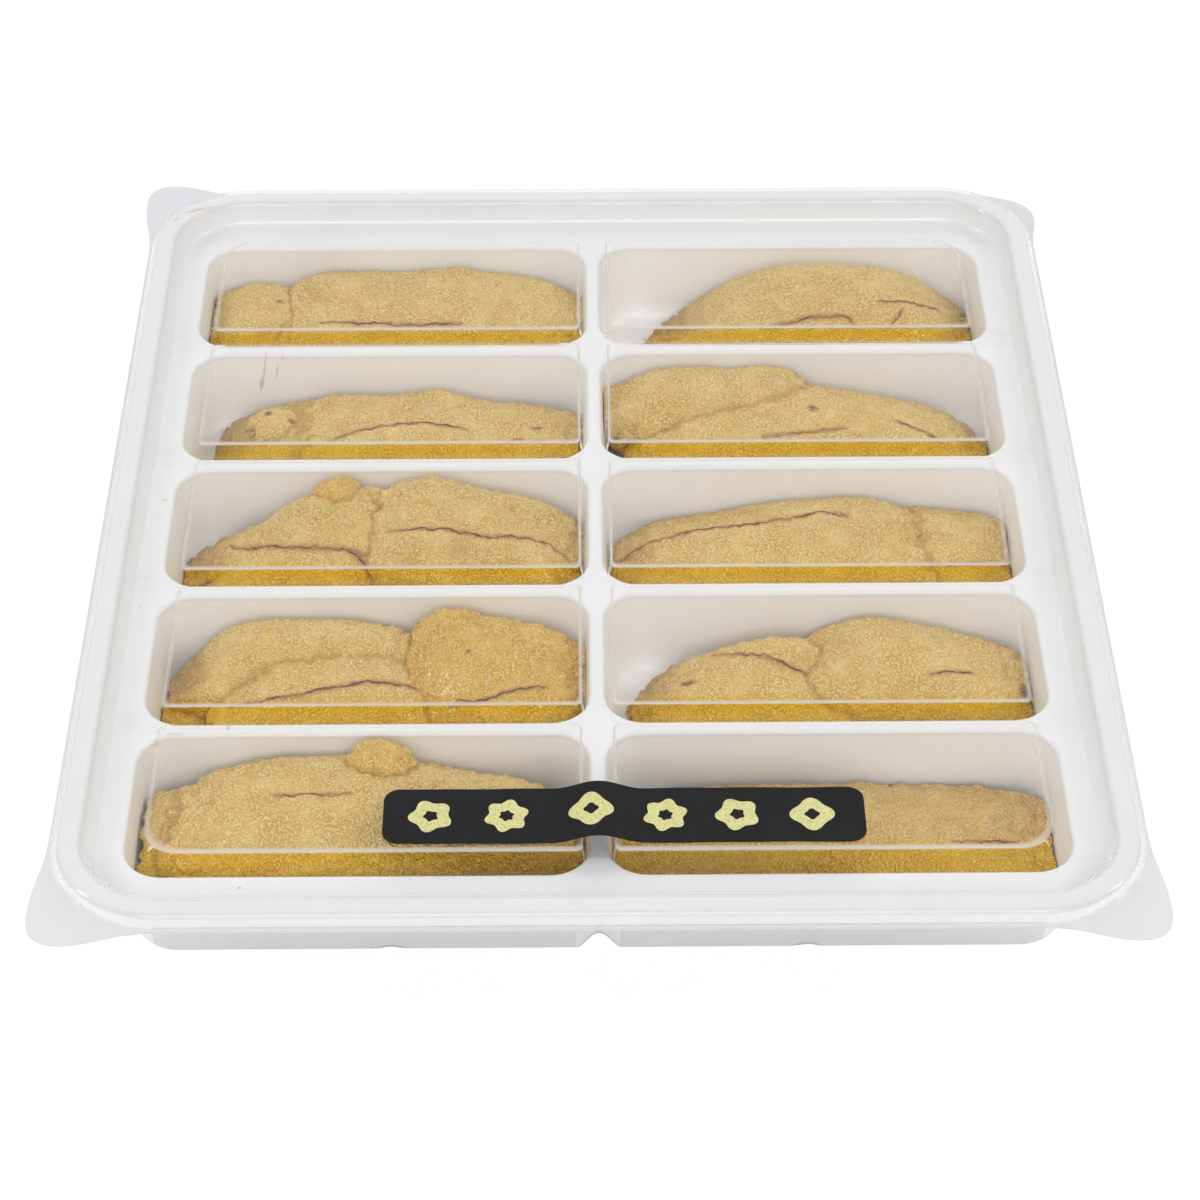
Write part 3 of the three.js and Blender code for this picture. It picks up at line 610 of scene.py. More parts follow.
def shoulder(column, row, shrink, low_z, high_z, round_):
    """The lower block between a pad and the rim, as wide as the pad's foot."""
    side = -1 if column == 0 else 1
    x, y = column_x(column), row_y(row)
    inner, outer = side * (FIELD_X - SHOULDER_REACH), side * (FOOT_X + 4)

    def level(z, extra):
        inset = PAD_FOOT_INSET + SHOULDER_LEAN * (z - LID_BASE_Z) + shrink + extra
        return ring(
            z, min(inner, outer), max(inner, outer),
            y - OPENING_Y / 2 + inset, y + OPENING_Y / 2 - inset, [SHOULDER_CORNER] * 4, 4
        )

    levels = [(low_z, 0)] + rounded(high_z, 0, round_, 4)
    return loft("shoulder", [level(z, extra) for z, extra in levels])


def bezier(guide, steps):
    """Points from the first of three or four guide points up to, but without, the last."""
    for step in range(steps):
        row = [np.array(point, float) for point in guide]
        while len(row) > 1:
            row = [p + (q - p) * step / steps for p, q in zip(row, row[1:])]
        yield row[0]


def spread_along(points, fractions):
    """Points at the given fractions of a path's length."""
    points = np.array(points, float)
    run = np.concatenate([[0], np.cumsum(np.linalg.norm(np.diff(points, axis=0), axis=1))])
    at = np.array(fractions) * run[-1]
    return np.stack([np.interp(at, run, points[:, k]) for k in range(2)], axis=1)


def lip():
    """The lip round the skirt's lower edge, flared into an ear at each corner."""
    edge_x, edge_y = RIM_X + SKIRT + LIP_WIDTH, RIM_Y + SKIRT + LIP_WIDTH
    root_x, root_y, root_radius = (v + SKIRT - LID_SHEET / 2 for v in (RIM_X, RIM_Y, RIM_RADIUS))
    inner, outer, droops = [], [], []
    for side, end in ((1, 1), (-1, 1), (-1, -1), (1, -1)):
        tip_x, tip_y = side * (edge_x + EAR_REACH_X), end * (edge_y + EAR_REACH_Y)
        along_side = [
            (side * edge_x, end * (edge_y - EAR_LENGTH_Y)),
            (side * edge_x, end * (edge_y - EAR_LENGTH_Y * 0.6)),
            (tip_x, end * (edge_y - EAR_LENGTH_Y * 0.55)),
            (tip_x, tip_y - end * EAR_CORNER),
        ]
        along_end = [
            (tip_x - side * EAR_CORNER, tip_y),
            (side * (edge_x - EAR_LENGTH_X * 0.5), tip_y),
            (side * (edge_x - EAR_LENGTH_X * 0.6), end * edge_y),
            (side * (edge_x - EAR_LENGTH_X), end * edge_y),
        ]
        path = [
            *bezier(along_side, 24), *bezier((along_side[-1], (tip_x, tip_y), along_end[0]), 16),
            *bezier(along_end, 24), along_end[-1],
        ]
        root = [(side * root_x, end * (edge_y - EAR_LENGTH_Y))]
        for along, up in arc(24):
            root.append((
                side * (root_x - root_radius * (1 - along)), end * (root_y - root_radius * (1 - up))
            ))
        root.append((side * (edge_x - EAR_LENGTH_X), end * root_y))
        if side * end < 0:
            path.reverse()
            root.reverse()
        fractions = np.linspace(0, 1, EAR_POINTS)
        outer.append(spread_along(path, fractions))
        inner.append(spread_along(root, fractions))
        droops.append(np.full(EAR_POINTS, EAR_DROOP[side, end]))
    outer, inner, droops = (np.concatenate(parts) for parts in (outer, inner, droops))
    count = len(outer)
    reach = np.linalg.norm(outer - inner, axis=1)
    flare = LIP_FLARE + EAR_FLARE * np.clip((reach - 3) / 6, 0, 1)
    levels = []
    for face, order in ((0, LIP_PROFILE), (-LID_SHEET, reversed(LIP_PROFILE))):
        for t in order:
            beyond = reach * t
            z = LIP_Z + LID_SHEET + flare * np.exp(-beyond / FLARE_RUN)
            z = z - droops * np.maximum(beyond - 1, 0) / EAR_DROOP_SPAN
            thinner = LIP_EDGE_ROUND if t == 1 else 0
            z = z + face + (thinner if face else -thinner)
            levels.append(np.column_stack([inner + (outer - inner) * t, z]))
    points = np.concatenate(levels)
    faces = []
    for level in range(len(levels)):
        following = (level + 1) % len(levels)
        for i in range(count):
            j = (i + 1) % count
            faces.append((
                level * count + j, level * count + i, following * count + i, following * count + j
            ))
    return make_mesh("lip", points.tolist(), faces)


def plug(name):
    """The body of the lid that fits inside the rim."""
    top_z = RIM_TOP_Z + CLEARANCE
    return basin(name, LID_BASE_Z, -CLEARANCE, top_z + 0.1, fillet=1.4, flare_z=top_z, flare=1.0)


lid = rim_block("lid", LIP_Z, LID_TOP_Z, SKIRT, LID_ROUND)
combine(lid, "UNION", [plug("plug")])
rim_space = rim_block(
    "rim_space", DECK_Z - 1, RIM_TOP_Z + CLEARANCE, CLEARANCE, RIM_SPACE_ROUND
)
combine(rim_space, "DIFFERENCE", [plug("inside")])
combine(lid, "DIFFERENCE", [
    basin(
        "well", LID_BASE_Z + LID_SHEET, -SKIRT, LID_TOP_Z + 1,
        fillet=0.9, flare_z=LID_TOP_Z, flare=1.2
    ),
    rim_space,
])
for operation, shrink, low_z, pad_round, shoulder_round, trim in (
    ("UNION", 0, LID_BASE_Z, 0.7, 0.6, 0.45),
    ("DIFFERENCE", LID_SHEET, LID_BASE_Z - 1, 0.4, 0.4, SKIRT),
):
    blocks = []
    for cell in CELLS:
        block = shoulder(*cell, shrink, low_z, SHOULDER_TOP_Z - shrink, shoulder_round)
        blocks.append(combine(block, "INTERSECT", [basin("trim", LID_BASE_Z - 2, -trim)]))
        blocks.append(pad(*cell, shrink, low_z, PAD_TOP_Z - shrink, pad_round))
    combine(lid, operation, blocks)
combine(lid, "UNION", [lip()])
lid.data.materials.clear()
even_shading(lid, 35)


def set_field(mesh, name, values):
    """Stores one number per point of a mesh, for a material or a node tree to read."""
    attribute = mesh.attributes.new(name, "FLOAT", "POINT")
    attribute.data.foreach_set("value", np.asarray(values, dtype=np.float32))


def points_of(piece):
    """A piece's points in millimetres."""
    flat = np.empty(len(piece.data.vertices) * 3)
    piece.data.vertices.foreach_get("co", flat)
    return flat.reshape(-1, 3) / MM


x, y, z = points_of(lid).T
normal_x, normal_y, facing_up = np.array([point.normal for point in lid.data.vertices]).T
side_on, behind = np.abs(normal_x), np.maximum(normal_y, 0)
# Painted highlight along the pads' rounded top edges, weaker towards the rim's sides and at the
# back.
outside = (np.abs(x) < FIELD_X) & (np.abs(y) < FIELD_Y) & (facing_up > 0.05)
bend = np.interp(PAD_TOP_Z - z, BEND_HIGHLIGHT_DEPTHS, BEND_HIGHLIGHT_SHARES) * outside
towards_rim = side_on * (np.abs(x) > FIELD_X / 2)
bend *= (1 - RIM_SIDE_CLEAR * towards_rim) * (1 - BACK_CLEAR * behind)
beyond = np.hypot(
    np.maximum(np.abs(x) - RIM_X + RIM_RADIUS, 0), np.maximum(np.abs(y) - RIM_Y + RIM_RADIUS, 0)
) - RIM_RADIUS
ear = np.clip((beyond - SKIRT) / 0.4, 0, 1)
# A faint painted reflection over the lid's upward faces; it and the painted highlight share one
# field with the ears' milk.
upwards = (facing_up > 0.5) | ((side_on > 0.5) & (np.abs(x) > FIELD_X / 2))
film = REFLECTION_VEIL * (upwards & (z > LID_BASE_Z + LID_SHEET + 0.3) & (np.abs(x) < FOOT_X))
set_field(lid.data, "milk_and_highlight", np.maximum(np.maximum(BEND_HIGHLIGHT * bend, EAR_MILK * ear), film))
set_field(lid.data, "ear", ear * np.where(y < 0, FRONT_EAR_GREY, 1))


def field(tree, name):
    """The values that set_field stored, in a material."""
    return add(tree, "ShaderNodeAttribute", attribute_name=name).outputs["Fac"]


lid_plastic, tree, shader = new_material("lid_plastic")
wire(tree, shader, {
    "Base Color": WHITE, "Roughness": 0.02, "IOR": 1.02, "Transmission Weight": 1,
    "Coat Weight": 0.35, "Coat IOR": 1.5, "Coat Roughness": 0.05,
})
# The pads' painted highlight and the faint painted reflection share this milky shader with the
# ears.
tint = blend(tree, field(tree, "ear"), HIGHLIGHT_TINT, EAR_TINT)
milk_and_highlight_bsdf = add(tree, "ShaderNodeMixShader", {
    0: 0.4, 1: add(tree, "ShaderNodeBsdfDiffuse", {"Color": tint}),
    2: add(tree, "ShaderNodeBsdfTranslucent", {"Color": tint}),
})
plastic = add(tree, "ShaderNodeMixShader", {0: field(tree, "milk_and_highlight"), 1: shader, 2: milk_and_highlight_bsdf})
ray = add(tree, "ShaderNodeLightPath").outputs
passing = maths(tree, "MAXIMUM", ray["Is Shadow Ray"], ray["Is Diffuse Ray"])
clear = add(tree, "ShaderNodeBsdfTransparent", {"Color": CLEAR_TINT})
mix = add(tree, "ShaderNodeMixShader", {0: passing, 1: plastic, 2: clear})
wire(tree, tree.nodes["Material Output"], {"Surface": mix})
lid.data.materials.append(lid_plastic)
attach(lid, "root")
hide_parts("lid")

# ---- Label ---------------------------------------------------------------------------------
# A black film strip with rounded corners and six pale rosettes, stuck across the two front pads.
# It lies flat on them and rises in an arch over the groove between the columns.

LABEL_X, LABEL_LENGTH, LABEL_DEPTH, LABEL_CORNER = 4.7, 89, 14, 3
LABEL_FRONT_Y = row_y(ROWS - 1) - OPENING_Y / 2 + 3.7
LABEL_MID_Y = LABEL_FRONT_Y + LABEL_DEPTH / 2
LABEL_THICK, LABEL_LIFT = 0.12, 0.12
HUMP_RISE, HUMP_HALF = 2, 8.5
# Each rosette: x and its number of petals.
MARKS = ((-31, 5), (-17, 6), (-1.4, 4), (12.3, 6), (25.6, 5), (39.4, 4))
MARK_RADIUS, MARK_HOLE, MARK_THICK = 4.2, 0.34, 0.05
PETAL_DEPTH = 0.11
BLACK = (0, (0.008, 0.0075, 0.0085, 1)), (1, (0.018, 0.017, 0.019, 1))
INK = (0.3, (0.52, 0.50, 0.20, 1)), (0.6, (0.72, 0.70, 0.30, 1))


def label_height(x, y):
    """How high the strip's underside lies: on the pads, with an arch and faint waves."""
    hump = HUMP_RISE * (0.5 + 0.5 * np.cos(math.pi * np.clip(np.abs(x) / HUMP_HALF, 0, 1)))
    waves = 0.05 * np.sin(x / 5.1 + y / 9) + 0.04 * np.sin(x / 2.3 - y / 4)
    return PAD_TOP_Z + LABEL_LIFT + hump + waves


def closed_sheet(name, x, y, low, thickness, loop=False):
    """A thin closed body on a grid of points; with loop, its last row meets its first."""
    rows, columns = x.shape
    under = np.column_stack([x.ravel(), y.ravel(), low.ravel()])
    over = under + (0, 0, thickness)
    count = len(under)
    faces = []
    for i in range(rows if loop else rows - 1):
        a, b = i * columns, (i + 1) % rows * columns
        for k in range(columns - 1):
            faces.append((count + a + k, count + b + k, count + b + k + 1, count + a + k + 1))
            faces.append((a + k + 1, b + k + 1, b + k, a + k))
        faces.append((a, b, count + b, count + a))
        faces.append((b + columns - 1, a + columns - 1, count + a + columns - 1,
                      count + b + columns - 1))
    if not loop:
        for k in range(columns - 1):
            end = (rows - 1) * columns + k
            faces.append((k + 1, k, count + k, count + k + 1))
            faces.append((end, end + 1, count + end + 1, count + end))
    return make_mesh(name, np.vstack([under, over]).tolist(), faces)


def joined(piece, extras):
    """One object out of several, each part keeping its own material."""
    with bpy.context.temp_override(active_object=piece, selected_editable_objects=[piece] + extras):
        bpy.ops.object.join()
    return piece


def rosette(x, petals, turn):
    """A flower-like ring with rounded petals, lying on the strip."""
    angle = np.linspace(0, 2 * math.pi, 96, endpoint=False)[:, None] + turn
    edge = MARK_RADIUS * (1 - PETAL_DEPTH + PETAL_DEPTH * np.cos(petals * (angle - turn)))
    reach = np.linspace(MARK_HOLE, 1, 7)[None, :] * edge
    px, py = x + reach * np.cos(angle), LABEL_MID_Y + reach * np.sin(angle)
    base = label_height(px, py) + LABEL_THICK - MARK_THICK / 2
    return closed_sheet("mark", px, py, base, MARK_THICK, loop=True)


half = LABEL_LENGTH / 2
strip_x = np.concatenate([
    -half + LABEL_CORNER * (1 - np.cos(np.linspace(0, math.pi / 2, 9))),
    np.linspace(-half + LABEL_CORNER, half - LABEL_CORNER, 140)[1:-1],
    half - LABEL_CORNER * (1 - np.cos(np.linspace(math.pi / 2, 0, 9))),
])
beyond = np.clip(np.abs(strip_x) - (half - LABEL_CORNER), 0, LABEL_CORNER)
strip_half = LABEL_DEPTH / 2 - LABEL_CORNER + np.sqrt(LABEL_CORNER ** 2 - beyond ** 2)
grid_x, grid_t = np.meshgrid(LABEL_X + strip_x, np.linspace(-1, 1, 15), indexing="ij")
grid_y = LABEL_MID_Y + grid_t * strip_half[:, None]
label = closed_sheet("label", grid_x, grid_y, label_height(grid_x, grid_y), LABEL_THICK)
label_film, tree, shader = new_material("label_film")
place = place_in(tree)
black = ramp(tree, cloud(tree, place, 4, 4), *BLACK)
wire(tree, shader, {"Base Color": black, "Roughness": 0.45, "Specular IOR Level": 0.1})
label.data.materials.append(label_film)
mark_ink, tree, shader = new_material("mark_ink")
place = place_in(tree)
ink = ramp(tree, cloud(tree, place, 0.5, 3), *INK)
wire(tree, shader, {"Base Color": ink, "Roughness": 0.5})
marks = [rosette(x, petals, 0.4 * petals) for x, petals in MARKS]
for mark in marks:
    mark.data.materials.append(mark_ink)
joined(label, marks)
even_shading(label, 50)
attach(label, "root")
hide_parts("label")

# ---- Roe -----------------------------------------------------------------------------------
# Soft lobes of sea urchin roe, one to four heaped in each compartment. Each is a rounded body with
# a grained, lightly creased skin, a few marks, and thin dark veins that lie in its surface.

ROE_GAP = 0.3
ROE_STEP = 0.46
ROE_LOWER_RINGS = 7
END_FLUTE = 0.9
VEIN_STEP, VEIN_TIP = 0.35, 0.35
# Painted shade where one lobe meets another: how wide, how dark, and the lowest height it reaches.
CREVICE_WIDTH, CREVICE_SHADE_STRENGTH, CREVICE_LOWEST_Z = 0.6, 0.4, 6
LUMP_SIZE, KNOB_SIZE, CREASE_SIZE, GRAIN_SIZE = 13, 1.9, 5.5, 1.1
LUMP_HEIGHT, CREASE_HEIGHT, GRAIN_HEIGHT = 1.3, 1.8, 0.3
CREASE_BAND, GRAIN_LEVEL = 0.09, 0.45
CREASE_EVERYWHERE, CREASE_END_FROM, CREASE_END_RUN = 0.08, 0.55, 0.4
# Lobes crumble more at the back: places across a unit body, and how much.
CRUMBLE_ACROSS, CRUMBLE_SHARES = (-0.4, 0.2), (0.4, 1.15)
PEBBLE_SIZE, DUST_SIZE, PLAIN_SIZE, MOTTLE_SIZE = 0.63, 0.42, 4, 7
PEBBLE_DEPTH = 0.5
# The low front, painted a darker, deeper gold as shade: how much each millimetre down and forwards
# counts, and where it begins and ends.
LOW_FRONT_DOWN, LOW_FRONT_FORWARD, LOW_FRONT_SPAN = 0.75, 0.66, (7.4, 9.2)
# Painted shade deep in the compartment: the depths below the deck where it begins and is full, and
# how strong.
DEEP_SHADE_SPAN, DEEP_SHADE = (6, 13), 0.35
HALO_SPREAD, HALO_STAIN = 1.6, 0.5
# Tones of the flesh, from the painted shade in the gaps between the grains up to the painted
# highlight on their tops.
ROE_STOPS = (0.12, 0.48, 0.82)
YELLOW = ((0.58, 0.30, 0.02), (0.88, 0.60, 0.18), (1.0, 0.79, 0.35))
ORANGE = ((0.60, 0.28, 0.01), (0.90, 0.56, 0.11), (1.0, 0.75, 0.24))
LOW_SHADE_GOLD = ((0.58, 0.28, 0.003), (0.87, 0.49, 0.010), (0.96, 0.66, 0.05))
# Kinds of mark, in the order in which they are laid over the flesh. The third is painted shade
# where lobes meet; the fourth holds the veins' halos and painted shade deep in the compartment.
MARK_TINTS = (
    ("pale", (0.80, 0.62, 0.28)), ("smooth", (0.80, 0.50, 0.15)), ("crevice_shade", (0.50, 0.25, 0.03)),
    ("halo_and_deep_shade", (0.40, 0.17, 0.07)), ("dark", (0.20, 0.065, 0.05)),
)
VEIN_TONES = (0, (0.42, 0.18, 0.06, 1)), (0.7, (0.16, 0.045, 0.03, 1))


def wall_inset(z):
    """How far the compartment's wall, and the pad above it, stand in from the opening."""
    fillet = np.clip((z - SHEET) / FLOOR_FILLET, 0, 1)
    foot = FLOOR_FILLET * FILLET_SPREAD * (1 - np.sqrt(1 - (1 - fillet) ** 2))
    wall = np.interp(z, [SHEET + FLOOR_FILLET, DECK_Z - LIP_RADIUS], [WALL_DRAFT, 0])
    under_pad = np.interp(z, [DECK_Z - 2, DECK_Z - LIP_RADIUS], [0, PAD_INSET + LID_SHEET])
    return np.maximum(wall + foot, under_pad)


def held_in(points):
    """Points, measured from the middle of their compartment, pulled inside its walls."""
    x, y, z = points.T
    z = np.clip(z, SHEET + ROE_GAP, PAD_TOP_Z - LID_SHEET - ROE_GAP)
    inset = wall_inset(z) + ROE_GAP
    radius = np.maximum(MOUTH_RADIUS - inset, 1)
    straight_x = OPENING_X / 2 - inset - radius
    straight_y = OPENING_Y / 2 - inset - radius - END_FLUTE
    over_x = np.maximum(np.abs(x) - straight_x, 0)
    over_y = np.maximum(np.abs(y) - straight_y, 0)
    pull = np.minimum(1, radius / np.maximum(np.hypot(over_x, over_y), 1e-6))
    return np.column_stack([
        np.sign(x) * (np.minimum(np.abs(x), straight_x) + over_x * pull),
        np.sign(y) * (np.minimum(np.abs(y), straight_y) + over_y * pull),
        z,
    ])


def lobe_grid(long, wide, fill):
    """Points on a unit body: a fine grid over the top, rings below; and their faces. Its plan is
    round if fill is 2, and squarer the higher that is."""
    count_x = max(int(math.pi * long / ROE_STEP), 16)
    count_y = max(int(math.pi * wide / ROE_STEP), 16)
    a, b = np.meshgrid(
        np.linspace(-1, 1, count_x + 1), np.linspace(-1, 1, count_y + 1), indexing="ij"
    )
    u, v = a * np.sqrt(1 - b * b / 2), b * np.sqrt(1 - a * a / 2)
    reach = np.hypot(u, v)
    tilt = reach * math.pi / 2
    side = np.stack([u, v], axis=-1) / np.maximum(reach, 1e-9)[..., None]
    side *= np.maximum((np.abs(side) ** fill).sum(axis=-1, keepdims=True), 1e-9) ** (-1 / fill)
    top = np.concatenate([side * np.sin(tilt)[..., None], np.cos(tilt)[..., None]], axis=-1)
    number = np.arange((count_x + 1) * (count_y + 1)).reshape(count_x + 1, count_y + 1)
    faces = np.stack(
        [number[:-1, :-1], number[1:, :-1], number[1:, 1:], number[:-1, 1:]], axis=-1
    ).reshape(-1, 4).tolist()
    brim = np.concatenate([number[:-1, 0], number[-1, :-1], number[:0:-1, -1], number[0, :0:-1]])
    points = [top.reshape(-1, 3)]
    brim_side = side.reshape(-1, 2)[brim]
    above, start = brim, number.size
    for level in range(1, ROE_LOWER_RINGS + 1):
        tilt = math.pi / 2 * level / (ROE_LOWER_RINGS + 1)
        points.append(np.column_stack([
            brim_side * math.cos(tilt), np.full(len(brim), -math.sin(tilt))
        ]))
        below = np.arange(start, start + len(brim))
        start += len(brim)
        faces += np.column_stack([above, below, np.roll(below, -1), np.roll(above, -1)]).tolist()
        above = below
    points.append(np.array([[0, 0, -1]]))
    faces += [(int(p), start, int(q)) for p, q in zip(above, np.roll(above, -1))]
    return np.concatenate(points), faces


def pressed(points, hollows):
    """Sum of soft hollows, each (x, y, half x, half y, depth), at plan points."""
    depth = np.zeros(len(points))
    for x, y, half_x, half_y, amount in hollows:
        depth += amount * np.exp(
            -((points[:, 0] - x) / half_x) ** 2 - ((points[:, 1] - y) / half_y) ** 2
        )
    return depth


def geometry_tree(name, *inputs):
    """A geometry node tree that takes a mesh and gives one back."""
    return new_group(
        name, "GeometryNodeTree", (("Geometry", "Geometry"), *inputs), "Geometry", "Geometry"
    )


def finish_tree(tree, start, end, geometry):
    """Ends a geometry node tree: its result as plain mesh, in the given material."""
    real = add(tree, "GeometryNodeRealizeInstances", {"Geometry": geometry})
    wire(tree, end, {"Geometry": add(tree, "GeometryNodeSetMaterial", {
        "Geometry": real, "Material": start.outputs["Material"]
    })})


def grow(piece, tree, values):
    """Runs a geometry node tree on a piece, with its inputs by name, and bakes the result."""
    modifier = piece.modifiers.new(tree.name, "NODES")
    modifier.node_group = tree
    for item in tree.interface.items_tree:
        if item.in_out == "INPUT" and item.name in values:
            modifier[item.identifier] = values[item.name]
    return baked(piece)


def stored(tree, name):
    """The values that set_field stored, in a geometry node tree."""
    return add(tree, "GeometryNodeInputNamedAttribute", {"Name": name}, data_type="FLOAT")


def swell(tree, size, seed, detail=1):
    """Noise about zero, from about -0.5 to 0.5, with features of a size in millimetres."""
    source = add(tree, "ShaderNodeTexNoise", {
        "W": seed, "Scale": 1 / (size * MM), "Detail": detail, "Roughness": 0.5
    }, noise_dimensions="4D")
    return maths(tree, "SUBTRACT", source, 0.5)


relief, start, end = geometry_tree(
    "roe_relief", ("Lump Height", "Float"), ("Knob Height", "Float"), ("Crease Height", "Float"),
    ("Grain Height", "Float"), ("Seed", "Float"), ("Material", "Material"),
)
seed = start.outputs["Seed"]
crease = maths(relief, "ABSOLUTE", swell(relief, CREASE_SIZE, seed))
crease = mapped(relief, crease, 0, CREASE_BAND, -1, 0, interpolation_type="SMOOTHSTEP")
grain = add(relief, "ShaderNodeTexVoronoi", {
    "W": seed, "Scale": 1 / (GRAIN_SIZE * MM)
}, voronoi_dimensions="4D")
knobs = swell(relief, KNOB_SIZE, seed, 2)
total = 0
for source, height in (
    (swell(relief, LUMP_SIZE, seed), "Lump Height"),
    (maths(relief, "MULTIPLY", knobs, stored(relief, "crumble")), "Knob Height"),
    (maths(relief, "MULTIPLY", crease, stored(relief, "crease")), "Crease Height"),
    (maths(relief, "SUBTRACT", GRAIN_LEVEL, grain), "Grain Height"),
):
    total = maths(relief, "MULTIPLY_ADD", source, start.outputs[height], total)
offset = add(relief, "ShaderNodeVectorMath", {
    0: add(relief, "GeometryNodeInputNormal"), "Scale": total
}, operation="SCALE")
finish_tree(relief, start, end, add(relief, "GeometryNodeSetPosition", {
    "Geometry": start.outputs["Geometry"], "Offset": offset
}))

vein_tube, start, end = geometry_tree("vein_tube", ("Material", "Material"))
curve = add(vein_tube, "GeometryNodeMeshToCurve", {"Mesh": start.outputs["Geometry"]})
profile = add(vein_tube, "GeometryNodeCurvePrimitiveCircle", {"Resolution": 6, "Radius": 1.0})
finish_tree(vein_tube, start, end, add(vein_tube, "GeometryNodeCurveToMesh", {
    "Curve": curve, "Profile Curve": profile, "Scale": stored(vein_tube, "thickness"),
    "Fill Caps": True,
}))


def through(waypoints, step):
    """Evenly spaced plan points on a smooth curve through waypoints."""
    ends = [2 * np.array(waypoints[0]) - waypoints[1], 2 * np.array(waypoints[-1]) - waypoints[-2]]
    guide = [ends[0]] + [np.array(p, float) for p in waypoints] + [ends[1]]
    path = []
    for p, q, r, s in zip(guide, guide[1:], guide[2:], guide[3:]):
        t = np.linspace(0, 1, 24, endpoint=False)[:, None]
        path.append(0.5 * (
            2 * q + (r - p) * t + (2 * p - 5 * q + 4 * r - s) * t ** 2
            + (3 * q - p - 3 * r + s) * t ** 3
        ))
    path = np.concatenate(path + [guide[-2][None, :]])
    length = np.linalg.norm(np.diff(path, axis=0), axis=1).sum()
    return spread_along(path, np.linspace(0, 1, max(int(length / step), 6)))


def surface_of(piece):
    """A piece's surface, to find points on."""
    return BVHTree.FromPolygons(
        [v.co.copy() for v in piece.data.vertices], [tuple(p.vertices) for p in piece.data.polygons]
    )


def make_vein(lobe, centre, waypoints, width, seed):
    """A thin tube through plan waypoints, lying half sunk in a lobe's surface."""
    surface = surface_of(lobe)
    plan = through(waypoints, VEIN_STEP) + centre
    points, thickness, fades = [], [], []
    for i, (x, y) in enumerate(plan):
        t = i / (len(plan) - 1)
        wander, shiver = noise.noise((x * 0.45, y * 0.45, seed)), noise.noise((x * 2, y * 2, seed))
        x += 0.35 * wander + 0.12 * shiver
        y += 0.7 * noise.noise((x * 0.35, seed, y * 0.35)) + 0.25 * noise.noise((x * 1.7, seed, y))
        hit = surface.ray_cast(Vector((x, y, 40)) * MM, Vector((0, 0, -1)))[0]
        if hit is None:
            continue
        uneven = 0.85 + 0.6 * noise.noise((x * 0.8, y * 0.8, seed + 3))
        taper = min(1, VEIN_TIP + 3 * t, VEIN_TIP + 4 * (1 - t))
        points.append(tuple(hit / MM))
        thickness.append(width / 2 * uneven * taper * MM)
        fades.append(min(1, max(0, 0.5 + 1.6 * noise.noise((x * 0.22, y * 0.22, seed + 7)))))
    vein = make_mesh("vein", points, [], edges=[(k, k + 1) for k in range(len(points) - 1)])
    set_field(vein.data, "thickness", thickness)
    set_field(vein.data, "fade", fades)
    grow(vein, vein_tube, {"Material": roe_vein})
    vein.data.shade_smooth()
    return vein


def roe_material(name, tones):
    """Pebbled roe flesh, with painted shade between the grains and painted highlight on their tops,
    and pale and dark marks. It has one set of tones for its top and one, of deeper gold as painted
    shade, for the low front."""
    material, tree, shader = new_material(name)
    place = place_in(tree)
    grains = add(tree, "ShaderNodeTexVoronoi", {"Vector": place, "Scale": 1 / (PEBBLE_SIZE * MM)})
    pebble = maths(tree, "MULTIPLY_ADD", cloud(tree, place, DUST_SIZE, 2, 0.6), 0.6, grains)
    # The grain's level: painted shade in its gaps and painted highlight on its tops, and its bump.
    level = mapped(tree, pebble, 0.5, 1.05, 1, 0)
    plainness = mapped(tree, cloud(tree, place, PLAIN_SIZE, 1), 0.35, 0.65, 0.74, 0.42)
    mottle = mapped(tree, cloud(tree, place, MOTTLE_SIZE, 3, 0.6), 0.3, 0.7, 0.33, 0.67)
    both = add(tree, "ShaderNodeMix", {0: plainness, 2: level, 3: mottle})
    colour = blend(tree, field(tree, "low_front_shade"), *(
        ramp(tree, both, *((stop, (*tone, 1)) for stop, tone in zip(ROE_STOPS, three)))
        for three in tones
    ))
    for mark, tint in MARK_TINTS:
        amount = field(tree, mark)
        broken = maths(tree, "MULTIPLY_ADD", amount, level, amount)
        colour = blend(tree, mapped(tree, broken, 0.15, 0.9, 0, 0.9), colour, (*tint, 1))
    bumps = add(tree, "ShaderNodeBump", {"Distance": PEBBLE_DEPTH * MM, "Height": level})
    wire(tree, shader, {
        "Base Color": colour, "Normal": bumps, "Roughness": 0.5, "Specular IOR Level": 0.25,
        "Coat Weight": 0.25, "Coat Roughness": 0.1,
    })
    return material


roe_yellow = roe_material("roe_yellow", (YELLOW, LOW_SHADE_GOLD))
roe_orange = roe_material("roe_orange", (ORANGE, LOW_SHADE_GOLD))
roe_vein, tree, shader = new_material("roe_vein")
wire(tree, shader, {
    "Base Color": ramp(tree, field(tree, "fade"), *VEIN_TONES), "Roughness": 0.6,
    "Specular IOR Level": 0.3,
})


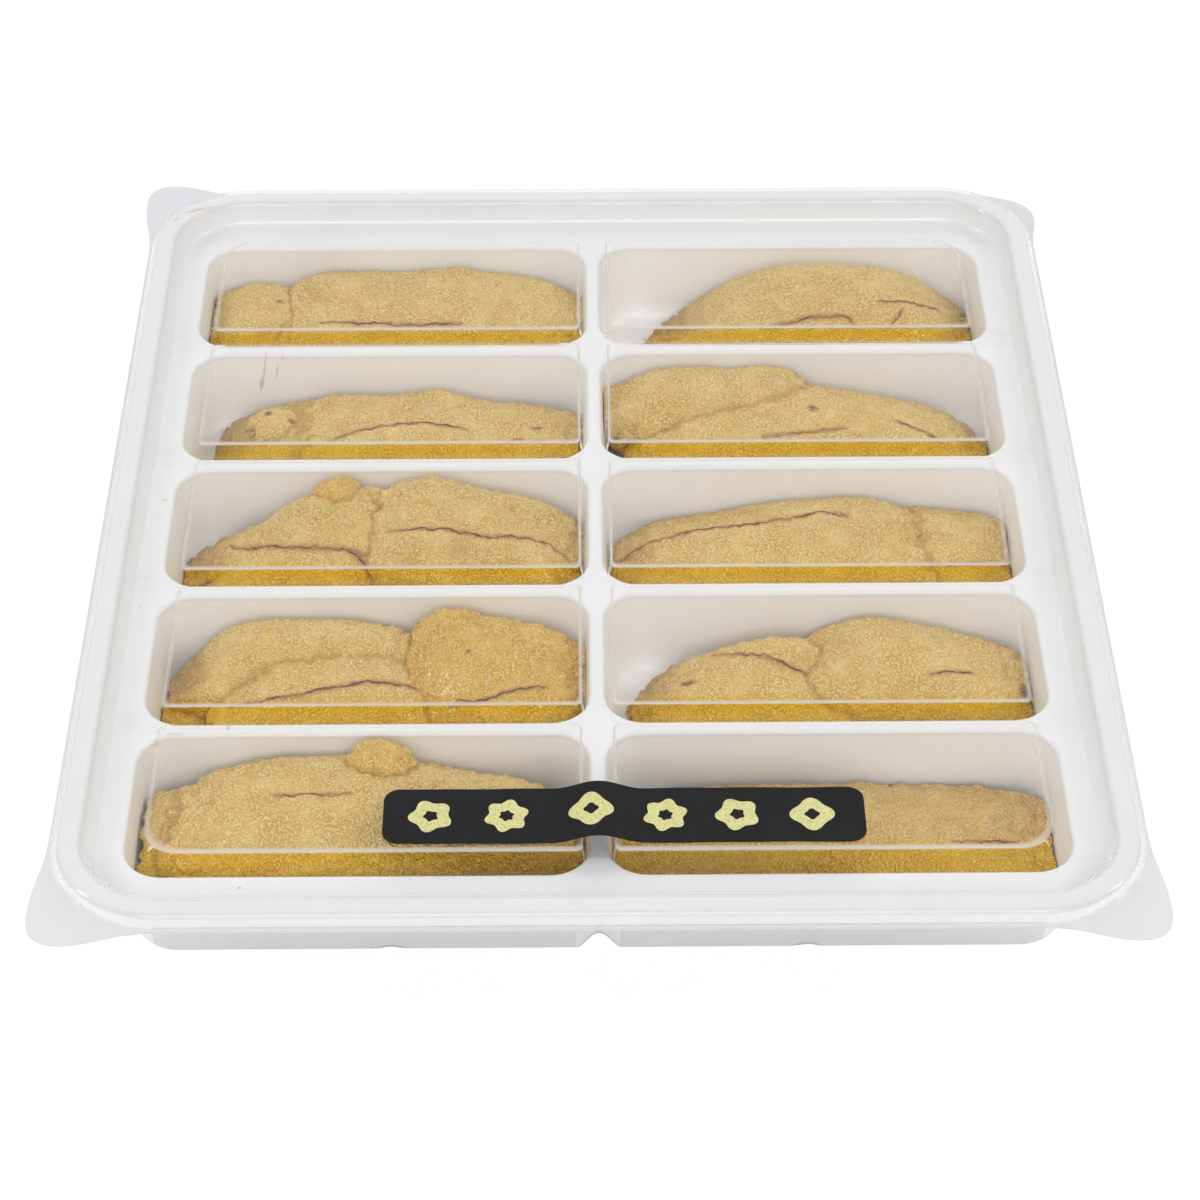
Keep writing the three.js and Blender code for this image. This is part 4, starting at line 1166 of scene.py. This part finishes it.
def make_lobe(
    name, cell, crest, size, turn=0, fall=0.0, bend=0, deep=None, orange=False,
    fill=2.4, hollows=(), dark=(), pale=(), smooth=(), veins=(), ends=0.35, crumble=1.8,
):
    """A lobe: the middle and height of its crest, measured from the middle of its compartment's
    opening; half its length, half its width and the drop to its shoulder; its turn and bend in
    plan, its fall along its length, and how deep it goes below its shoulder, if not to the floor.
    Each hollow, and each dark, pale or smooth mark, is a middle in plan, two half sizes and a depth
    or strength; a hollow with a negative depth is a swelling. Each vein is a width and waypoints.
    Ends says how creased its two ends are, and crumble how crumbly its top is.
    """
    x, y, top = crest
    long, wide, drop = size
    shoulder_z = DECK_Z + top - drop
    if deep is None:
        deep = shoulder_z - SHEET
    unit, faces = lobe_grid(long, wide, fill)
    along = unit[:, 0] * long
    across = unit[:, 1] * wide + bend * (1 - 2 * unit[:, 0] ** 2)
    turned = math.radians(turn)
    points = np.column_stack([
        x + along * math.cos(turned) - across * math.sin(turned),
        y + along * math.sin(turned) + across * math.cos(turned),
        shoulder_z + unit[:, 2] * np.where(unit[:, 2] > 0, drop, deep) - fall * along,
    ])
    points[:, 2] -= pressed(points, hollows) * np.minimum(1 + unit[:, 2], 1)
    middle = np.array([column_x(cell[0]), row_y(cell[1]), 0])
    points = held_in(points) + middle
    seed = float(sum(ord(letter) for letter in name) % 97)
    lobe = make_mesh(name, points.tolist(), faces)
    near_end = np.clip((np.abs(unit[:, 0]) - CREASE_END_FROM) / CREASE_END_RUN, 0, 1)
    set_field(lobe.data, "crease", np.clip(ends * near_end + CREASE_EVERYWHERE, 0, 1))
    set_field(lobe.data, "crumble", np.interp(unit[:, 1], CRUMBLE_ACROSS, CRUMBLE_SHARES))
    grow(lobe, relief, {
        "Lump Height": LUMP_HEIGHT * MM, "Knob Height": crumble * MM,
        "Crease Height": CREASE_HEIGHT * MM, "Grain Height": GRAIN_HEIGHT * MM, "Seed": seed,
        "Material": roe_orange if orange else roe_yellow,
    })
    moved = held_in(points_of(lobe) - middle) + middle
    lobe.data.vertices.foreach_set("co", (moved * MM).ravel())
    plan = moved[:, :2] - middle[:2]
    deep_below = DECK_Z - moved[:, 2]
    # Painted shade: the roe low down at the front gets the darker, deeper gold.
    lowness = LOW_FRONT_DOWN * deep_below - LOW_FRONT_FORWARD * plan[:, 1]
    low_front_shade = np.interp(lowness, LOW_FRONT_SPAN, [0, 1])
    set_field(lobe.data, "low_front_shade", low_front_shade)
    for mark, spots in (("dark", dark), ("pale", pale), ("smooth", smooth)):
        set_field(lobe.data, mark, np.clip(pressed(plan, spots), 0, 1))
    # Painted shade that deepens lower down, away from the low front, in one field with the veins'
    # halos.
    halo_and_deep_shade = np.interp(deep_below, DEEP_SHADE_SPAN, [0, DEEP_SHADE]) * (1 - low_front_shade)
    for width, waypoints in veins:
        line = through(waypoints, 0.5)
        near = np.min(np.hypot(*(plan[:, None, :] - line[None, :, :]).transpose(2, 0, 1)), axis=1)
        halo_and_deep_shade = np.maximum(halo_and_deep_shade, HALO_STAIN * np.exp(-(near / (HALO_SPREAD * width)) ** 2))
    set_field(lobe.data, "halo_and_deep_shade", halo_and_deep_shade)
    lobe.data.update()
    joined(lobe, [
        make_vein(lobe, middle[:2], waypoints, width, seed + k)
        for k, (width, waypoints) in enumerate(veins)
    ])
    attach(lobe, "root")
    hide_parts(name)
    lobes.setdefault(cell, []).append(lobe)


lobes = {}

make_lobe(
    "roe_1l_main", (0, 0), (9, 1, -1.5), (37, 17.5, 8), turn=-2, fall=0.02, bend=2, fill=4,
    hollows=[(14, 14, 3, 3, -1.5), (-2, 13, 9, 6, 1), (-18, 10, 6, 6, -2), (42, 10, 5, 8, 1.2)],
    veins=[(0.45, [(-16.8, -4.9), (-5.9, -6.6), (8.3, -7.1), (14.8, -6.6)])],
)
make_lobe(
    "roe_1l_end", (0, 0), (-32, 3, -3.5), (13, 14, 8), turn=12, fill=3,
    hollows=[(-41, 4, 3, 8, 3)],
    ends=0.9, dark=[(-26.4, 3.7, 1.2, 0.8, 0.6)],
)
make_lobe(
    "roe_1r_dome", (1, 0), (8.5, 1, 2.4), (41, 18, 16), fall=0.01, bend=-1, fill=3,
    hollows=[(-26, 4, 12, 22, 9), (42, 4, 11, 22, 8), (8, 10, 12, 8, -1.2)],
    veins=[
        (0.5, [(-4.7, -10.6), (-0.7, -10.1), (4.2, -9.1), (11.6, -8.9), (13.8, -10.6)]),
        (0.4, [(19.5, -5), (27.2, -2.6), (34.5, 1.9)]), (0.35, [(25.1, -5.7), (22.3, -9.9)]),
    ],
)
make_lobe(
    "roe_2l_end", (0, 1), (-25, 0, -8.6), (18, 17, 7), turn=8, fall=-0.22, fill=3.5,
    hollows=[(-41, 4, 5, 14, 5)],
    ends=0.7,
)
make_lobe(
    "roe_2l_main", (0, 1), (12, 0, -5), (36, 16, 8), turn=-3, fall=0.05, fill=4,
    hollows=[(11, 12, 7, 6, -2), (-14, 10, 8, 6, -0.5), (40, 4, 8, 12, -1)],
    pale=[(8.3, 4.9, 1.6, 1.2, 0.9)], dark=[(32.2, 0.8, 1.2, 0.6, 0.9)],
    veins=[
        (0.45, [(-11.4, -3.8), (-4.3, -1.7), (7.5, 0), (16.9, -1.9)]),
        (0.35, [(26, -4.2), (34, -2.9)]),
    ],
)
make_lobe(
    "roe_2l_knob", (0, 1), (-25, 5, -6.4), (6.5, 6, 4), turn=30, deep=3,
    ends=0.9, dark=[(-26.6, 6, 1, 0.7, 0.7), (-21.3, 3.9, 1, 0.7, 0.7)],
)
make_lobe(
    "roe_2r_back", (1, 1), (-20, 8, 0.8), (24, 11, 9), turn=3, fill=3.5,
    hollows=[(-14, 14, 5, 5, 1.5), (0, 12, 7, 6, -1.5), (-38, 12, 5, 8, 2)],
    pale=[(-4, 8.9, 1.6, 1.2, 0.9)],
)
make_lobe(
    "roe_2r_front", (1, 1), (4, -1, -1.6), (42, 17, 13), turn=-3, fall=0.06, bend=2, fill=3.5,
    hollows=[(26, 8, 12, 6, 1.8), (42, 6, 6, 10, 2.5)],
    dark=[(2.9, 0.4, 1.3, 1.2, 0.7)],
    veins=[(0.4, [(-8.2, -7.6), (9.8, -5.2)]), (0.45, [(20.9, -1.4), (29.9, -4.8)])],
)
make_lobe(
    "roe_3l_peak", (0, 2), (-9.5, 11.5, 1.8), (7, 6, 7), turn=20, orange=True,
    ends=0.8, crumble=3.0,
)
make_lobe(
    "roe_3l_right", (0, 2), (19, 1, 2.2), (24, 17, 12), turn=-5, fall=0.12, fill=3.5,
    hollows=[(10, 13, 8, 6, -2), (-3, 12, 4, 6, -1.5)],
    crumble=2.4, smooth=[(17, -7.8, 2.6, 2, 1)],
    veins=[(0.5, [(2.6, -2.8), (16.6, -4.3), (21.5, -4.9), (31.7, -3), (36.2, -2.8), (38.5, -4)])],
)
make_lobe(
    "roe_3l_left", (0, 2), (-16, 1, -2), (28, 16, 12), turn=12, fall=-0.16, bend=-2, fill=3.2,
    hollows=[(-16, 9, 7, 8, -4.5), (-3, 12, 6, 6, -2.5), (-32, 0, 8, 10, 1.5), (-41, 6, 5, 10, 2)],
    ends=0.6, crumble=2.4, dark=[(-36, -5.4, 2, 0.9, 0.7)],
    veins=[
        (0.55, [(-31.6, 3.1), (-24.8, -1), (-18.3, -3.8), (-12, -4.8), (-6.9, -5.4), (-3, -6.6)]),
        (0.55, [(-6.9, -5.4), (-4.2, -6.9), (-1.6, -9.6)]),
    ],
)
make_lobe(
    "roe_3r_right", (1, 2), (30, 2, -5.8), (15, 16, 8), turn=-8, fall=0.05, fill=4,
    veins=[(0.4, [(22, -5), (32.3, -5.3), (41, -2.5)])],
)
make_lobe(
    "roe_3r_main", (1, 2), (-8, 0, -4), (36, 17.5, 9), turn=3, fall=-0.08, bend=2, fill=4,
    hollows=[(-20, 12, 10, 6, 1.6), (12, 10, 8, 6, -0.5)],
    pale=[(4.9, 5.8, 1.8, 1.3, 0.9)],
    veins=[(0.5, [
        (-39, 1.4), (-34.5, 3.6), (-23.2, 5.8), (-13.6, 5.5), (-4, 6.4), (2.7, 7.6), (8.3, 6.4)
    ])],
)
make_lobe(
    "roe_4l_back", (0, 3), (-14, 6, -0.6), (28, 12, 11), turn=2, bend=1, fill=3,
    hollows=[(-38, 8, 6, 8, 6), (-14, 2, 24, 3.5, 2)],
)
make_lobe(
    "roe_4l_orange", (0, 3), (24, 1, 1.6), (20, 17, 12), turn=-10, fall=0.1, fill=3.5, orange=True,
    hollows=[(14, 12, 5, 6, -1.8), (2, 10, 5, 8, 1.5), (7, -8, 9, 9, 6)],
    crumble=3.0, dark=[(19.3, 0.2, 0.6, 0.5, 0.8)], pale=[(23.5, -6.6, 0.5, 1.6, 0.6)],
    veins=[(0.4, [(15.8, -10.2), (22.9, -10.3), (34.6, -6.7)])],
)
make_lobe(
    "roe_4l_front", (0, 3), (-8, -3, -2.4), (25, 14, 9), turn=2, bend=1, fill=4,
    veins=[(0.5, [(-27.2, -7.9), (-15.7, -7.6), (-8.5, -5.8), (2.7, -3.6), (12, -3.6)])],
)
make_lobe(
    "roe_4l_scrap", (0, 3), (-37, -4, -11), (7, 9, 5), turn=40,
    ends=0.9,
)
make_lobe(
    "roe_4r_right", (1, 3), (19, 3, -0.4), (25, 15, 12), turn=-6, fall=0.08, fill=3.5,
    hollows=[(-4, 10, 6, 8, 1.6), (1, 10, 7, 8, 1.6), (32, 8, 8, 8, 2.5)],
    dark=[(40.4, -1.7, 1.2, 2.2, 0.7)], veins=[(0.45, [(21.1, -4), (29.8, -2.2)])],
)
make_lobe(
    "roe_4r_left", (1, 3), (-12, -2, -5.4), (28, 15, 11), fall=-0.05, bend=2, fill=3.2,
    hollows=[(-8, 10, 12, 6, -3.6), (-38, 4, 6, 10, 3)],
    ends=0.7, dark=[(-26.4, 0.3, 1.7, 0.6, 1)],
    veins=[(0.5, [(-21, 7.4), (-15.3, 5.7), (-9.1, 3.4), (-3.7, 0.4), (1.5, -3)])],
)
make_lobe(
    "roe_5l_main", (0, 4), (3, 0, 0.8), (42, 17.5, 12), turn=-2, fall=0.06, bend=2, fill=3.5,
    hollows=[(20, 14, 10, 5, 1.2), (-28, 10, 10, 6, 1.2)],
    ends=0.5,
    veins=[(0.4, [(-16, 1.5), (-2, 1.5)])],
)
make_lobe(
    "roe_5l_end", (0, 4), (-35, 0, -5.4), (9, 14, 7), fill=3.2,
    hollows=[(-34, 6, 6, 8, -1)],
    ends=0.9,
)
make_lobe(
    "roe_5l_knob", (0, 4), (3.5, 11.5, 2.8), (7, 5, 5), turn=-15, deep=3, orange=True,
    crumble=3.0,
)
make_lobe(
    "roe_5r_main", (1, 4), (2, 0, -9), (44, 17, 5), bend=1, fill=4,
    hollows=[(38, 10, 8, 8, -1)],
    veins=[(0.4, [(22.4, -1.7), (35.2, -1)])],
)

# Painted shade in the crevices where lobes of one compartment meet.
for group in lobes.values():
    surfaces = [surface_of(lobe) for lobe in group]
    for lobe in group:
        crevice_shade = np.zeros(len(lobe.data.vertices))
        for other, surface in zip(group, surfaces):
            if other is lobe:
                continue
            for i, point in enumerate(lobe.data.vertices):
                if point.co.z < CREVICE_LOWEST_Z * MM:
                    continue
                apart = surface.find_nearest(point.co, 2 * CREVICE_WIDTH * MM)[3]
                if apart is not None:
                    depth = math.exp(-(apart / (CREVICE_WIDTH * MM)) ** 2)
                    crevice_shade[i] = max(crevice_shade[i], CREVICE_SHADE_STRENGTH * depth)
        set_field(lobe.data, "crevice_shade", crevice_shade)
